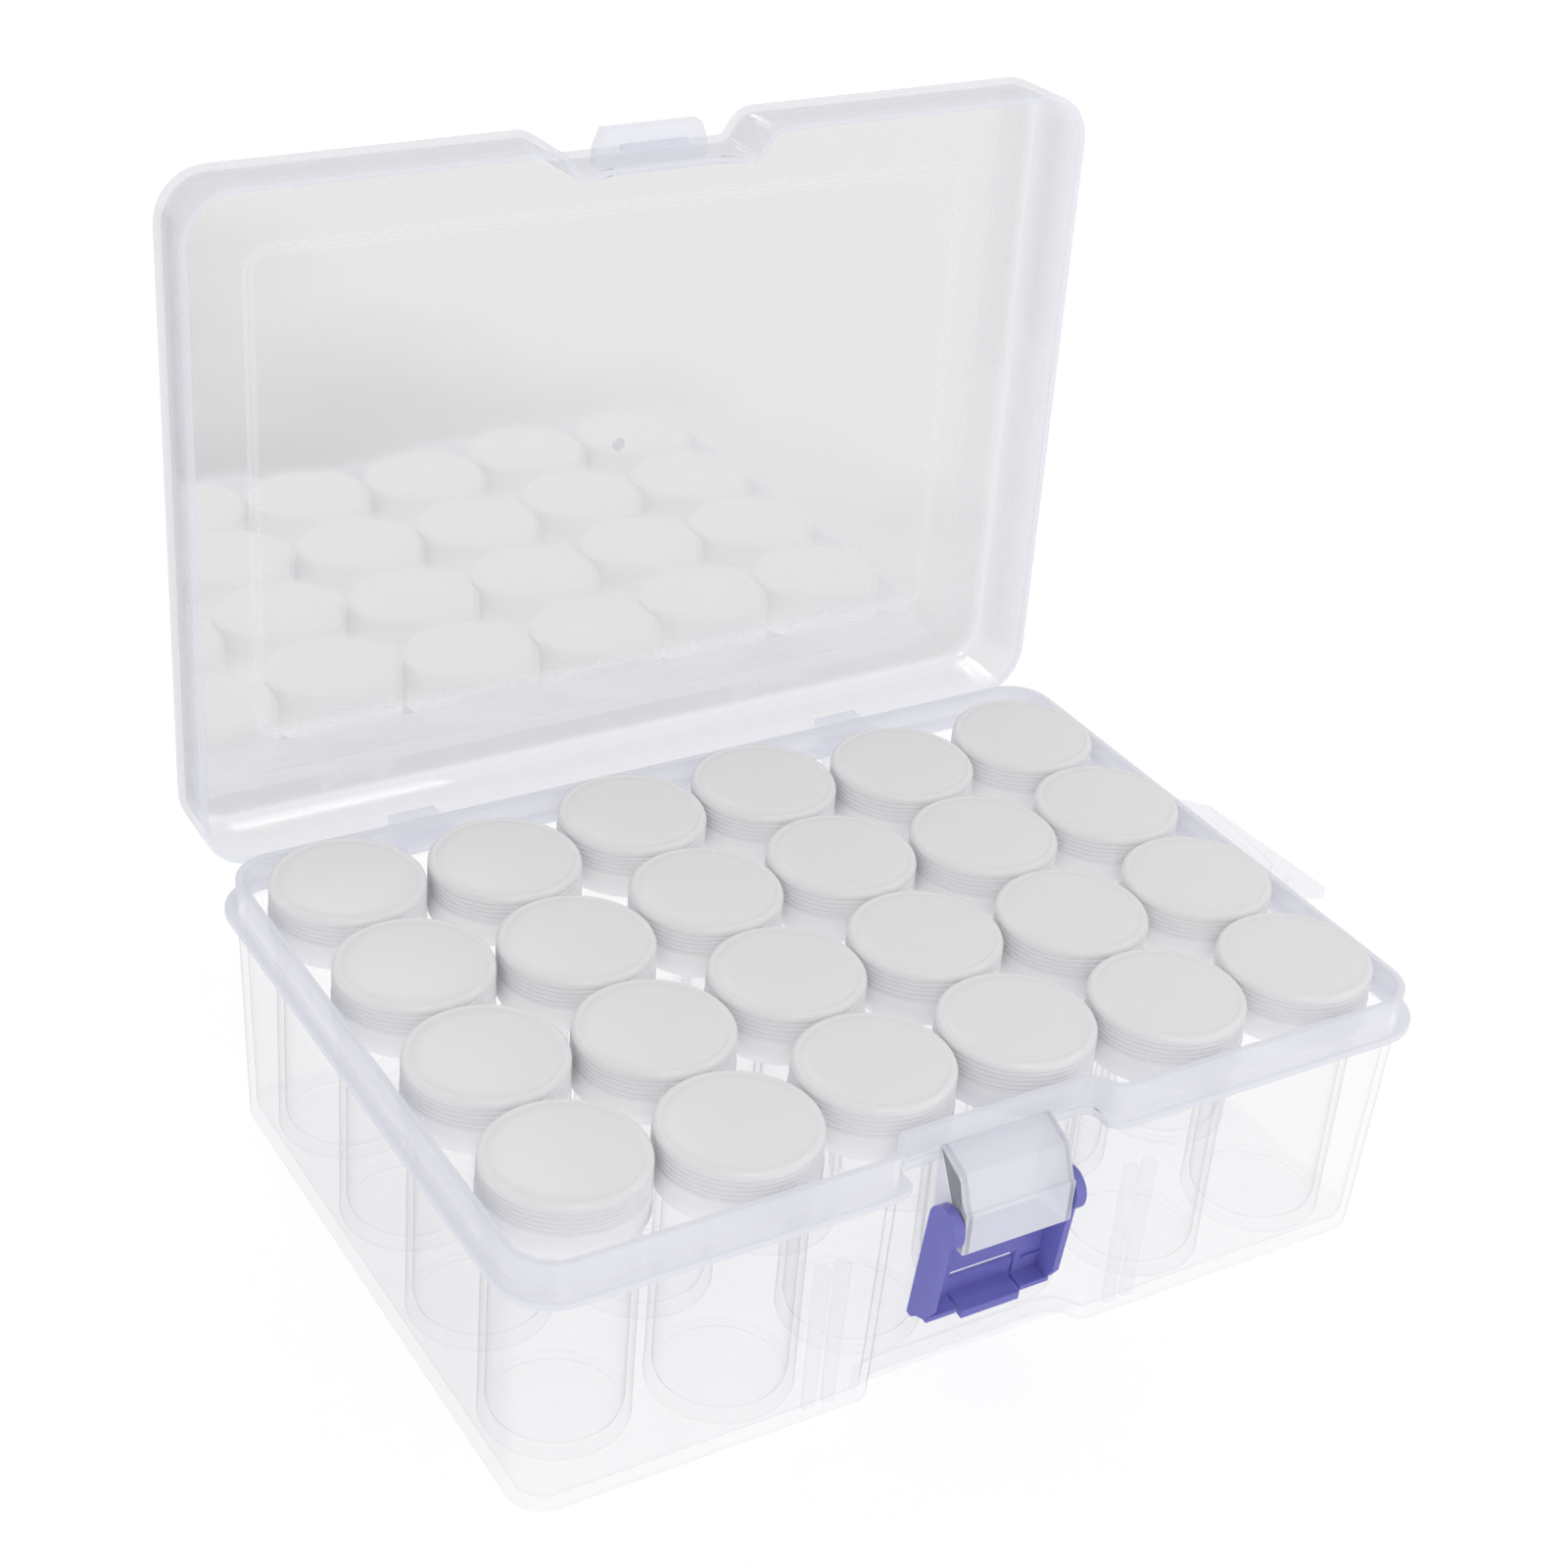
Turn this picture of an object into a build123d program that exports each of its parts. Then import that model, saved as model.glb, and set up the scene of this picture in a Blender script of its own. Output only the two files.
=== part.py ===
from build123d import *
import math
import os

# Bobbin box: a clear moulded tray with a hinged lid, a swing latch and a hang loop,
# holding screw-top jars in rows and columns.
#
# Millimetres. +X runs to the right along the front wall, +Y to the back, +Z up.
# The origin is the middle of the tray's underside. The box stands open: the lid
# is back at its stop and the latch hangs down in front of the front wall.

# ---- jars and caps -------------------------------------------------------------------
jar_columns = 6
jar_rows = 4
cap_radius = 13.5
cap_gap = 0.3                 # between the caps of neighbouring jars
cap_height = 10.2
cap_top_thickness = 1.4
cap_edge_chamfer = 0.6
cap_skirt_wall = 1.6
cap_fit = 0.3                 # around the neck, inside the skirt
cap_overhang = 1.2            # of the cap past the jar's body
jar_height = 50.0
jar_foot_chamfer = 0.7
jar_floor = 1.6
jar_neck_wall = 1.2
jar_shoulder_gap = 0.6        # between the cap's lower edge and the jar's shoulder
seat_gap = 0.1                # under a jar, and between a cap's top and its jar
column_play = 2.3             # how far a column of jars can be pushed either way
column_sides = (1, -1, 1, 1, -1, -1)   # 1: pushed to the back, -1: to the front
jar_side_room = 0.85          # between the end columns and the side walls, on average
jar_shift = 0.4               # how far the jars stand right of the middle
jar_front_room = 1.05         # between a pushed column and the front or back wall

# ---- tray ----------------------------------------------------------------------------
tray_wall = 1.3
tray_floor = 1.6
wall_draft = 1.6              # how far each wall leans in between the lip and the floor
corner_radius = 8.0
foot_round = 1.2
cap_stand_out = 2.6           # how far the caps stand above the lip
lip_height = 7.2              # from the underside of the flange to the top of the lip
flange_thickness = 1.6
flange_overhang = 1.9
recess_half_width = 17.6      # at the back of the recess behind the latch
recess_ramp = 3.0
recess_depth = 4.7
recess_front_round = 4.0
recess_back_round = 2.5
flange_end_round = 1.2
cut_ahead = 1.0               # how far the recess's cut starts outside the lip
slot_place = 29.75            # from the middle to each divider slot in the front wall
slot_width = 1.5
slot_rib_width = 2.2
slot_rib_depth = 1.0          # inside the foot of the wall
slot_rib_top = 30.6

# ---- latch bracket and latch ---------------------------------------------------------
bracket_half_width = 10.4
bracket_wall = 1.3
bracket_barrel = 3.2          # from the pivot to the bracket's front face
bracket_step = 0.6            # from there back to the sloping face above it
bracket_above = 3.9           # barrel top above the pivot
bracket_below = 4.1           # bracket's lower edge below the pivot
bracket_fold = 9.6            # fold between the two sloping faces, above the pivot
bracket_fold_out = 0.1        # fold in front of the pivot
pivot_out = 1.0               # pivot in front of the lip
pivot_drop = 8.7              # pivot below the flange
pin_radius = 1.5
pin_clearance = 0.1
pin_stub = 0.3                # pin end inside the bracket's side wall
ear_radius = 3.7
ear_side_gap = 0.3
ear_thickness = 1.9
arm_thickness = 1.25
arm_depth = 5.6
latch_plate_start = 5.0       # from the pivot, along the arms
latch_lip = 0.7               # of the plate past the hook
latch_plate_thickness = 1.25
hook_reach = 20.2             # from the pivot to the face that holds the lid's tab
hook_depth = 4.1
hook_half_width = 5.6
hook_thickness = 1.7
side_hook_depth = 3.2
side_hook_step = 0.7
hook_slit = 0.7
window_half_width = 6.5
window_height = 2.0
window_from_pivot = 14.9
panel_recess = 0.45
latch_rib_length = 3.6
latch_rib_size = 0.5
latch_rest_tilt = 7.0         # degrees from straight down, towards the box
latch_clearance = 0.3

# ---- lid -----------------------------------------------------------------------------
lid_wall = 1.2
lid_panel = 1.4
lid_side_gap = 0.3            # around the lip
lid_seat_gap = 0.2            # above the flange
lid_headroom = 5.1            # above the caps
lid_draft = 0.3
lid_top_round = 2.0
lid_open_angle = 90.8
lid_bracket_gap = 0.6         # beside the bracket, in the rim's shallow cut-out
lid_cut_height = 1.6
bead_inset = 15.6             # from the lid's outer edge to the bead frame
bead_width = 1.5
bead_height = 0.55
bead_radius = 4.5
tab_half_width = 10.5
tab_front_half_width = 9.2
tab_thickness = 2.9
tab_overlap = 2.2             # under the hook
tab_rib_width = 1.0
tab_rib_height = 1.0
tab_rib_inset = 3.0           # from the tab's front edge to the middle of its rib

# ---- hinge ---------------------------------------------------------------------------
hinge_spread = 45.0           # from the middle to each hinge
hinge_out = 1.4               # axis behind the flange
hinge_drop = 0.6              # axis below the flange's top
hinge_bar_radius = 1.0
hinge_clearance = 0.1
clip_wall = 1.1
clip_width = 9.0
clip_web_height = 4.6
clip_web_top = 0.9
clip_mouth = 1.7
lug_gap = 0.3
lug_thickness = 1.8
lug_radius = 1.6
lug_gusset = 5.0
flange_notch_gap = 0.3

# ---- hang loop on the right side -----------------------------------------------------
loop_thickness = 2.0
loop_sink = 0.4               # how far the loop's top lies above the flange's underside
loop_front = -19.6
loop_back = 19.2
loop_reach = 12.2             # from the flange to the loop's outer front corner
loop_taper = 1.9              # the outer edge is that much nearer at the back
loop_bar = 3.2
loop_root = 1.7               # strip left between the flange and the slot
loop_arm = 6.6
loop_slant = 5.4              # how far the back corner is cut off, along the box
loop_slant_in = 4.7           # and across
loop_front_slant = 2.6
loop_step = 0.9
loop_corner = 1.2
loop_waist = 0.75             # share of the front half where the slot's step lies
root_overlap = 0.8            # how far roots reach into the wall that carries them

# ---- derived sizes -------------------------------------------------------------------
pitch = 2 * cap_radius + cap_gap
jar_radius = cap_radius - cap_overhang
columns_span = (jar_columns - 1) / 2 * pitch
rows_span = (jar_rows - 1) / 2 * pitch
wall_and_draft = tray_wall + wall_draft
lip_length = 2 * (columns_span + jar_radius + jar_side_room + wall_and_draft)
lip_depth = 2 * (rows_span + column_play + jar_radius + jar_front_room + wall_and_draft)

jar_base = tray_floor + seat_gap
jar_top = jar_base + jar_height
neck_radius = cap_radius - cap_skirt_wall - cap_fit
bore_radius = neck_radius - jar_neck_wall
cap_top = jar_top + seat_gap + cap_top_thickness
cap_bottom = cap_top - cap_height
shoulder = cap_bottom - jar_shoulder_gap

tray_height = cap_top - cap_stand_out
flange_bottom = tray_height - lip_height
flange_top = flange_bottom + flange_thickness
wall_angle = math.degrees(math.atan(wall_draft / tray_height))
lip_front = -lip_depth / 2
lip_back = lip_depth / 2
flange_right = lip_length / 2 + flange_overhang

lid_grow = lid_side_gap + lid_wall
lid_rim = flange_top + lid_seat_gap
lid_top = cap_top + lid_headroom + lid_panel
lid_angle = math.degrees(math.atan(lid_draft / (lid_top - lid_rim)))
lid_length = lip_length + 2 * lid_grow
lid_depth = lip_depth + 2 * lid_grow

pivot_y = lip_front - pivot_out
pivot_z = flange_bottom - pivot_drop
recess_face = lip_front + recess_depth
latch_half_width = bracket_half_width + ear_side_gap + ear_thickness
latch_length = hook_reach + hook_thickness + latch_lip
plate_inner = ear_radius - latch_plate_thickness
tab_top = pivot_z + hook_reach - latch_clearance
tab_front = pivot_y + hook_depth - plate_inner - tab_overlap

hinge_y = lip_back + flange_overhang + hinge_out
hinge_z = flange_top - hinge_drop
clip_radius = hinge_bar_radius + hinge_clearance + clip_wall
clip_half = clip_width / 2

# ---- planes --------------------------------------------------------------------------
# The lid's plane is the closed box's level plane, swung open about the hinge, so all
# of the lid is drawn as it lies on the closed box.
open_turn = math.radians(lid_open_angle)
lid_plane = Plane(
    origin=(
        0,
        hinge_y - hinge_y * math.cos(open_turn) - hinge_z * math.sin(open_turn),
        hinge_z + hinge_y * math.sin(open_turn) - hinge_z * math.cos(open_turn),
    ),
    x_dir=(1, 0, 0),
    z_dir=(0, math.sin(open_turn), math.cos(open_turn)),
)
lid_side_plane = Plane(origin=lid_plane.origin, x_dir=lid_plane.y_dir, z_dir=(1, 0, 0))

# The latch's planes have their origin on the pivot. Across them, x is the way that the
# latch's plate faces, and y runs from the pivot to the hook.
hang_turn = math.radians(latch_rest_tilt)
latch_out = Vector(0, math.cos(hang_turn), math.sin(hang_turn))
latch_side_plane = Plane(origin=(0, pivot_y, pivot_z), x_dir=latch_out, z_dir=(-1, 0, 0))
latch_front_plane = Plane(origin=(0, pivot_y, pivot_z), x_dir=(1, 0, 0), z_dir=latch_out)


def outline(plane, grow=0):
    """The lip's plan outline on a plane, with its recess for the latch, grown by grow."""
    ramp_end = recess_half_width + recess_ramp
    ramp_ahead = cut_ahead * recess_ramp / recess_depth
    with BuildSketch(plane) as plan:
        RectangleRounded(lip_length, lip_depth, corner_radius)
        Polygon(
            (-ramp_end - ramp_ahead, lip_front - cut_ahead),
            (-recess_half_width, recess_face),
            (recess_half_width, recess_face),
            (ramp_end + ramp_ahead, lip_front - cut_ahead),
            align=None,
            mode=Mode.SUBTRACT,
        )
        corners = plan.vertices().filter_by(lambda v: abs(v.X) < ramp_end + ramp_ahead)
        rows = corners.group_by(Axis.Y)
        fillet(rows[0], recess_front_round)
        fillet(rows[1], recess_back_round)
        if grow != 0:
            offset(amount=grow)
    return plan.sketch


def side_plane(x=0):
    """A plane across the box: its own x is the box's Y and its own y is Z."""
    return Plane(origin=(x, 0, 0), x_dir=(0, 1, 0), z_dir=(1, 0, 0))


def export(part, name):
    """Label a finished piece and write it to the parts folder."""
    part.label = name
    export_step(part, f"parts/{name}.step")


os.makedirs("parts", exist_ok=True)

# ---- tray ----------------------------------------------------------------------------
hinge_places = [(-hinge_spread, 0), (hinge_spread, 0)]
lug_half = clip_half + lug_gap + lug_thickness
notch_front = hinge_y - clip_radius - flange_notch_gap
bar_length = 2 * (clip_half + lug_gap) + lug_thickness

with BuildPart() as base_tray:
    # Shell, with its walls leaning in towards the floor.
    extrude(outline(Plane.XY.offset(tray_height)), amount=-tray_height, taper=wall_angle)
    fillet(base_tray.faces().sort_by(Axis.Z)[0].edges(), foot_round)

    # Flange, which stops at the recess and is notched for the lid's two clips.
    with BuildSketch(Plane.XY.offset(flange_bottom)) as flange_plan:
        RectangleRounded(
            lip_length + 2 * flange_overhang,
            lip_depth + 2 * flange_overhang,
            corner_radius + flange_overhang,
        )
        with Locations((0, lip_front)):
            Rectangle(
                2 * (recess_half_width + recess_ramp - flange_overhang),
                2 * recess_depth,
                mode=Mode.SUBTRACT,
            )
        ends = flange_plan.vertices().filter_by(
            lambda v: abs(v.X) < recess_half_width + recess_ramp)
        fillet(ends.group_by(Axis.Y)[0], flange_end_round)
        with Locations(*[(x, notch_front) for x, _ in hinge_places]):
            Rectangle(
                2 * (clip_half + lug_gap),
                2 * flange_overhang + hinge_out,
                align=(Align.CENTER, Align.MIN),
                mode=Mode.SUBTRACT,
            )
    extrude(amount=flange_thickness)

    # Hang loop under the flange on the right.
    loop_top = flange_bottom + loop_sink
    loop_edge = flange_right + loop_reach
    loop_root_x = lip_length / 2 - root_overlap
    step_y = loop_waist * loop_front + loop_arm
    step_edge = loop_edge - loop_bar - loop_taper / 2
    with BuildSketch(Plane.XY.offset(loop_top)) as loop_plan:
        Polygon(
            (loop_root_x, loop_back),
            (loop_edge - loop_taper - loop_slant_in, loop_back),
            (loop_edge - loop_taper, loop_back - loop_slant),
            (loop_edge, loop_front),
            (loop_edge - loop_arm, loop_front + loop_front_slant),
            (loop_root_x, loop_front + loop_front_slant),
            align=None,
        )
        tips = loop_plan.vertices().filter_by(lambda v: v.X > flange_right)
        fillet(tips, loop_corner)
        Polygon(
            (flange_right + loop_root, loop_back - loop_arm),
            (loop_edge - loop_taper - loop_bar, loop_back - loop_arm),
            (step_edge, step_y),
            (step_edge - loop_step, step_y),
            (loop_edge - loop_bar - loop_step, loop_front + loop_arm),
            (flange_right + loop_root, loop_front + loop_arm),
            align=None,
            mode=Mode.SUBTRACT,
        )
    extrude(amount=-loop_thickness)

    # Bracket for the latch, open underneath.
    bracket_top = lid_rim + lid_cut_height - lid_side_gap
    bracket_lower = pivot_z - bracket_below
    barrel_front = pivot_y - bracket_barrel
    with BuildSketch(side_plane()) as bracket_profile:
        Polygon(
            (recess_face + tray_wall / 2, bracket_top),
            (recess_face, bracket_top),
            (pivot_y - bracket_fold_out, pivot_z + bracket_fold),
            (barrel_front + bracket_step, pivot_z + bracket_above),
            (barrel_front, pivot_z + bracket_above),
            (barrel_front, bracket_lower),
            (recess_face + tray_wall, bracket_lower),
            align=None,
        )
    extrude(amount=bracket_half_width, both=True)

    # Inside of the tray, which the bracket's root doesn't reach.
    extrude(
        outline(Plane.XY.offset(tray_height), -tray_wall),
        amount=-(tray_height - tray_floor),
        taper=wall_angle,
        mode=Mode.SUBTRACT,
    )

    # Divider slots inside the front wall, each between two ribs that rise from the floor.
    rib_root = lip_front + wall_draft + tray_wall / 2
    rib_root_top = rib_root - wall_draft * slot_rib_top / tray_height
    rib_face = lip_front + wall_and_draft + slot_rib_depth
    for slot_x in (-slot_place, slot_place):
        for rib_side in (-1, 1):
            rib_x = slot_x + rib_side * (slot_width + slot_rib_width) / 2
            with BuildSketch(side_plane(rib_x)) as rib_profile:
                Polygon(
                    (rib_root, tray_floor / 2),
                    (rib_root_top, slot_rib_top),
                    (rib_face, slot_rib_top),
                    (rib_face, tray_floor / 2),
                    align=None,
                )
            extrude(amount=slot_rib_width / 2, both=True)

    # Inside of the bracket, and the holes for the latch's pins.
    with BuildSketch(side_plane()) as bracket_hollow:
        Polygon(
            (recess_face, bracket_top - bracket_wall),
            (pivot_y - bracket_fold_out, pivot_z + bracket_fold - bracket_wall),
            (barrel_front + bracket_step + bracket_wall, pivot_z + bracket_above - bracket_wall),
            (barrel_front + bracket_wall, pivot_z + bracket_above - bracket_wall),
            (barrel_front + bracket_wall, bracket_lower),
            (recess_face, bracket_lower),
            align=None,
        )
    extrude(amount=bracket_half_width - bracket_wall, both=True, mode=Mode.SUBTRACT)
    with BuildSketch(side_plane()) as pin_holes:
        with Locations((pivot_y, pivot_z)):
            Circle(pin_radius + pin_clearance)
    extrude(amount=bracket_half_width, both=True, mode=Mode.SUBTRACT)

    # Lugs behind the flange, in pairs, and the bar between each pair.
    for hinge_x, _ in hinge_places:
        for lug_x in (hinge_x - lug_half, hinge_x + lug_half - lug_thickness):
            with BuildSketch(side_plane(lug_x)) as lug_profile:
                Polygon(
                    (lip_back - root_overlap, flange_top),
                    (hinge_y, flange_top),
                    (hinge_y + lug_radius, hinge_z),
                    (hinge_y, hinge_z - lug_radius),
                    (lip_back - root_overlap, flange_bottom - lug_gusset),
                    align=None,
                )
                with Locations((hinge_y, hinge_z)):
                    Circle(lug_radius)
            extrude(amount=lug_thickness)
        with BuildSketch(side_plane(hinge_x)) as bar_profile:
            with Locations((hinge_y, hinge_z)):
                Circle(hinge_bar_radius)
        extrude(amount=bar_length / 2, both=True)

# ---- lid -----------------------------------------------------------------------------
with BuildPart() as lid:
    # Shell, following the lip and its recess.
    lid_height = lid_top - lid_rim
    extrude(outline(lid_plane.offset(lid_rim), lid_grow), amount=lid_height, taper=lid_angle)
    top_edges = lid.edges().filter_by(
        lambda e: abs(lid_plane.to_local_coords(e @ 0).Z - lid_top) < 0.01
        and abs(lid_plane.to_local_coords(e @ 1).Z - lid_top) < 0.01)
    fillet(top_edges, lid_top_round)

    # Bead frame on the outside of the panel.
    with BuildSketch(lid_plane.offset(lid_top)) as bead_plan:
        RectangleRounded(
            lid_length - 2 * bead_inset,
            lid_depth - 2 * bead_inset,
            bead_radius,
        )
        offset(amount=-bead_width, mode=Mode.SUBTRACT)
    extrude(amount=bead_height)

    # Tab that the latch's hook holds, with a rib on its underside.
    with BuildSketch(lid_plane.offset(tab_top)) as tab_plan:
        Polygon(
            (-tab_half_width, recess_face),
            (-tab_half_width, (recess_face + tab_front) / 2),
            (-tab_front_half_width, tab_front),
            (tab_front_half_width, tab_front),
            (tab_half_width, (recess_face + tab_front) / 2),
            (tab_half_width, recess_face),
            align=None,
        )
    extrude(amount=-tab_thickness)
    with BuildSketch(lid_plane.offset(tab_top - tab_thickness)) as tab_rib:
        with Locations((0, tab_front + tab_rib_inset)):
            Rectangle(2 * window_half_width, tab_rib_width)
    extrude(amount=-tab_rib_height)

    # Clips over the hinge bars, each with a web up the back wall.
    for hinge_x, _ in hinge_places:
        with BuildSketch(lid_side_plane.offset(hinge_x)) as clip_profile:
            Polygon(
                (lip_back + lid_side_gap + lid_wall / 2, lid_rim),
                (lip_back + lid_side_gap + lid_wall / 2, lid_rim + clip_web_height),
                (lip_back + lid_grow + clip_web_top, lid_rim + clip_web_height),
                (hinge_y + clip_radius, hinge_z),
                (hinge_y, hinge_z),
                align=None,
            )
            with Locations((hinge_y, hinge_z)):
                Circle(clip_radius)
                Circle(hinge_bar_radius + hinge_clearance, mode=Mode.SUBTRACT)
                Rectangle(
                    clip_mouth,
                    2 * clip_radius,
                    align=(Align.CENTER, Align.MAX),
                    mode=Mode.SUBTRACT,
                )
        extrude(amount=clip_half, both=True)

    # Inside of the lid.
    extrude(
        outline(lid_plane.offset(lid_rim), lid_side_gap),
        amount=lid_height - lid_panel,
        taper=lid_angle,
        mode=Mode.SUBTRACT,
    )

    # Shallow cut-out in the rim, over the bracket.
    with BuildSketch(lid_plane.offset(lid_rim)) as rim_cut:
        with Locations((0, recess_face)):
            Rectangle(2 * (bracket_half_width + lid_bracket_gap), 2 * lid_grow + lid_wall)
    extrude(amount=lid_cut_height, mode=Mode.SUBTRACT)

# ---- latch ---------------------------------------------------------------------------
arm_front = ear_radius - arm_depth
hook_end = hook_reach + hook_thickness
plate_places = (latch_length + latch_plate_start) / 2
arm_corner = hook_reach - latch_plate_thickness

with BuildPart() as latch:
    # Arms with their ears, which carry the pins.
    for side in (1, -1):
        face = -side * latch_half_width
        with BuildSketch(latch_side_plane.offset(face)) as arm_profile:
            Circle(ear_radius)
            Polygon(
                (ear_radius, 0),
                (ear_radius, latch_length),
                (plate_inner, latch_length),
                (plate_inner - latch_plate_thickness, hook_end - side_hook_step),
                (arm_front + latch_plate_thickness, hook_reach),
                (arm_front, arm_corner - latch_plate_thickness),
                (arm_front, 0),
                align=None,
            )
        extrude(amount=side * arm_thickness)
        with BuildSketch(latch_side_plane.offset(face)) as ear_profile:
            Circle(ear_radius)
        extrude(amount=side * ear_thickness)
        with BuildSketch(latch_side_plane.offset(face)) as pin_profile:
            Circle(pin_radius)
        extrude(amount=side * (ear_thickness + ear_side_gap + bracket_wall + pin_stub))

    # Plate between the arms, with a window and a sunk panel beyond it.
    with BuildSketch(latch_front_plane.offset(plate_inner)) as plate_face:
        with Locations((0, plate_places)):
            Rectangle(2 * latch_half_width - arm_thickness, latch_length - latch_plate_start)
        with Locations((0, window_from_pivot)):
            Rectangle(
                2 * window_half_width,
                window_height,
                align=(Align.CENTER, Align.MIN),
                mode=Mode.SUBTRACT,
            )
    extrude(amount=latch_plate_thickness)
    with BuildSketch(latch_front_plane.offset(plate_inner)) as sunk_panel:
        with Locations((0, window_from_pivot + window_height / 2)):
            Rectangle(
                2 * window_half_width,
                hook_reach - window_from_pivot - window_height / 2,
                align=(Align.CENTER, Align.MIN),
            )
    extrude(amount=panel_recess, mode=Mode.SUBTRACT)

    # Hook in three steps, with a slit on each side of the middle one.
    with BuildSketch(latch_front_plane.offset(plate_inner)) as hook_face:
        with Locations((0, hook_reach)):
            Rectangle(
                2 * hook_half_width,
                hook_thickness,
                align=(Align.CENTER, Align.MIN),
            )
    extrude(amount=-hook_depth)
    side_hook_start = hook_half_width + hook_slit
    side_hook_length = latch_half_width - arm_thickness / 2 - side_hook_start
    with BuildSketch(latch_front_plane.offset(plate_inner)) as side_hook_face:
        for side in (1, -1):
            with Locations((side * (side_hook_start + side_hook_length / 2), hook_reach)):
                Rectangle(
                    side_hook_length,
                    hook_thickness - side_hook_step,
                    align=(Align.CENTER, Align.MIN),
                )
    extrude(amount=-side_hook_depth)

    # Short stiffening ribs beside the window.
    short_rib_x = latch_half_width - arm_thickness - latch_rib_length / 2
    with BuildSketch(latch_front_plane.offset(plate_inner)) as short_ribs:
        with Locations(
            (short_rib_x, window_from_pivot + window_height),
            (-short_rib_x, window_from_pivot + window_height),
        ):
            Rectangle(latch_rib_length, latch_rib_size)
    extrude(amount=-latch_rib_size)

# ---- jars and their caps -------------------------------------------------------------
export(base_tray.part, "base_tray")
export(lid.part, "lid")
export(latch.part, "latch")

number = 0
for row in range(jar_rows):
    for column in range(jar_columns):
        number += 1
        x = column * pitch - columns_span + jar_shift
        y = row * pitch - rows_span + column_sides[column] * column_play
        upright = Plane(origin=(x, y, 0), x_dir=(1, 0, 0), z_dir=(0, -1, 0))

        with BuildPart() as jar:
            with BuildSketch(upright) as jar_section:
                Polygon(
                    (0, jar_base),
                    (jar_radius - jar_foot_chamfer, jar_base),
                    (jar_radius, jar_base + jar_foot_chamfer),
                    (jar_radius, shoulder),
                    (neck_radius, shoulder),
                    (neck_radius, jar_top),
                    (bore_radius, jar_top),
                    (bore_radius, jar_base + jar_floor),
                    (0, jar_base + jar_floor),
                    align=None,
                )
            revolve(axis=Axis((x, y, 0), (0, 0, 1)))
        export(jar.part, f"jar_{number:02d}")

        with BuildPart() as cap:
            with BuildSketch(upright) as cap_section:
                Polygon(
                    (0, jar_top + seat_gap),
                    (cap_radius - cap_skirt_wall, jar_top + seat_gap),
                    (cap_radius - cap_skirt_wall, cap_bottom),
                    (cap_radius, cap_bottom),
                    (cap_radius, cap_top - cap_edge_chamfer),
                    (cap_radius - cap_edge_chamfer, cap_top),
                    (0, cap_top),
                    align=None,
                )
            revolve(axis=Axis((x, y, 0), (0, 0, 1)))
        export(cap.part, f"cap_{number:02d}")
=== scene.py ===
"""Clear hinged box of screw-top jars, with a blue swing latch and a hang loop.

Lengths in the sub-assembly classes are millimetres, and Piece.write turns them into metres.
"""

import logging
import math
from dataclasses import dataclass
from enum import Enum

import bmesh
import bpy
import numpy as np
from mathutils import Matrix, Vector


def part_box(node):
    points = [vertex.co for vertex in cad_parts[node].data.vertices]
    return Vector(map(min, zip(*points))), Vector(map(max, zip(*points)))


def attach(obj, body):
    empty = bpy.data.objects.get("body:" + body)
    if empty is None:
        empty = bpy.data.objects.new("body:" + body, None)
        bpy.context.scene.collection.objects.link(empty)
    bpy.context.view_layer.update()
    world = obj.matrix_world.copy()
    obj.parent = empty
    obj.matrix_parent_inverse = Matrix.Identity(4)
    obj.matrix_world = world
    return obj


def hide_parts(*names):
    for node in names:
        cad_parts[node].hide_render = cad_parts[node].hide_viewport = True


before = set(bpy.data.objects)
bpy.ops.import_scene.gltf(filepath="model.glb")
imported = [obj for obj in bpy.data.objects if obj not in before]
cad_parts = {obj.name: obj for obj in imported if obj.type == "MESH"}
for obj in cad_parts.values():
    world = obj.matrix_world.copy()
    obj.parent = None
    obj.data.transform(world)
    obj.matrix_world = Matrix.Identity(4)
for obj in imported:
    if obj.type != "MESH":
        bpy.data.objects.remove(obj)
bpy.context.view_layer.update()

MM = 0.001
log = logging.getLogger("bobbin_box")


# ---- finishes ------------------------------------------------------------------------


class Channel(Enum):
    """Per-vertex values that the finishes read from a mesh: milkiness of clear plastic, and on the caps a
    band of painted light.
    """

    DENSITY = "milkiness_and_glow"


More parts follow.
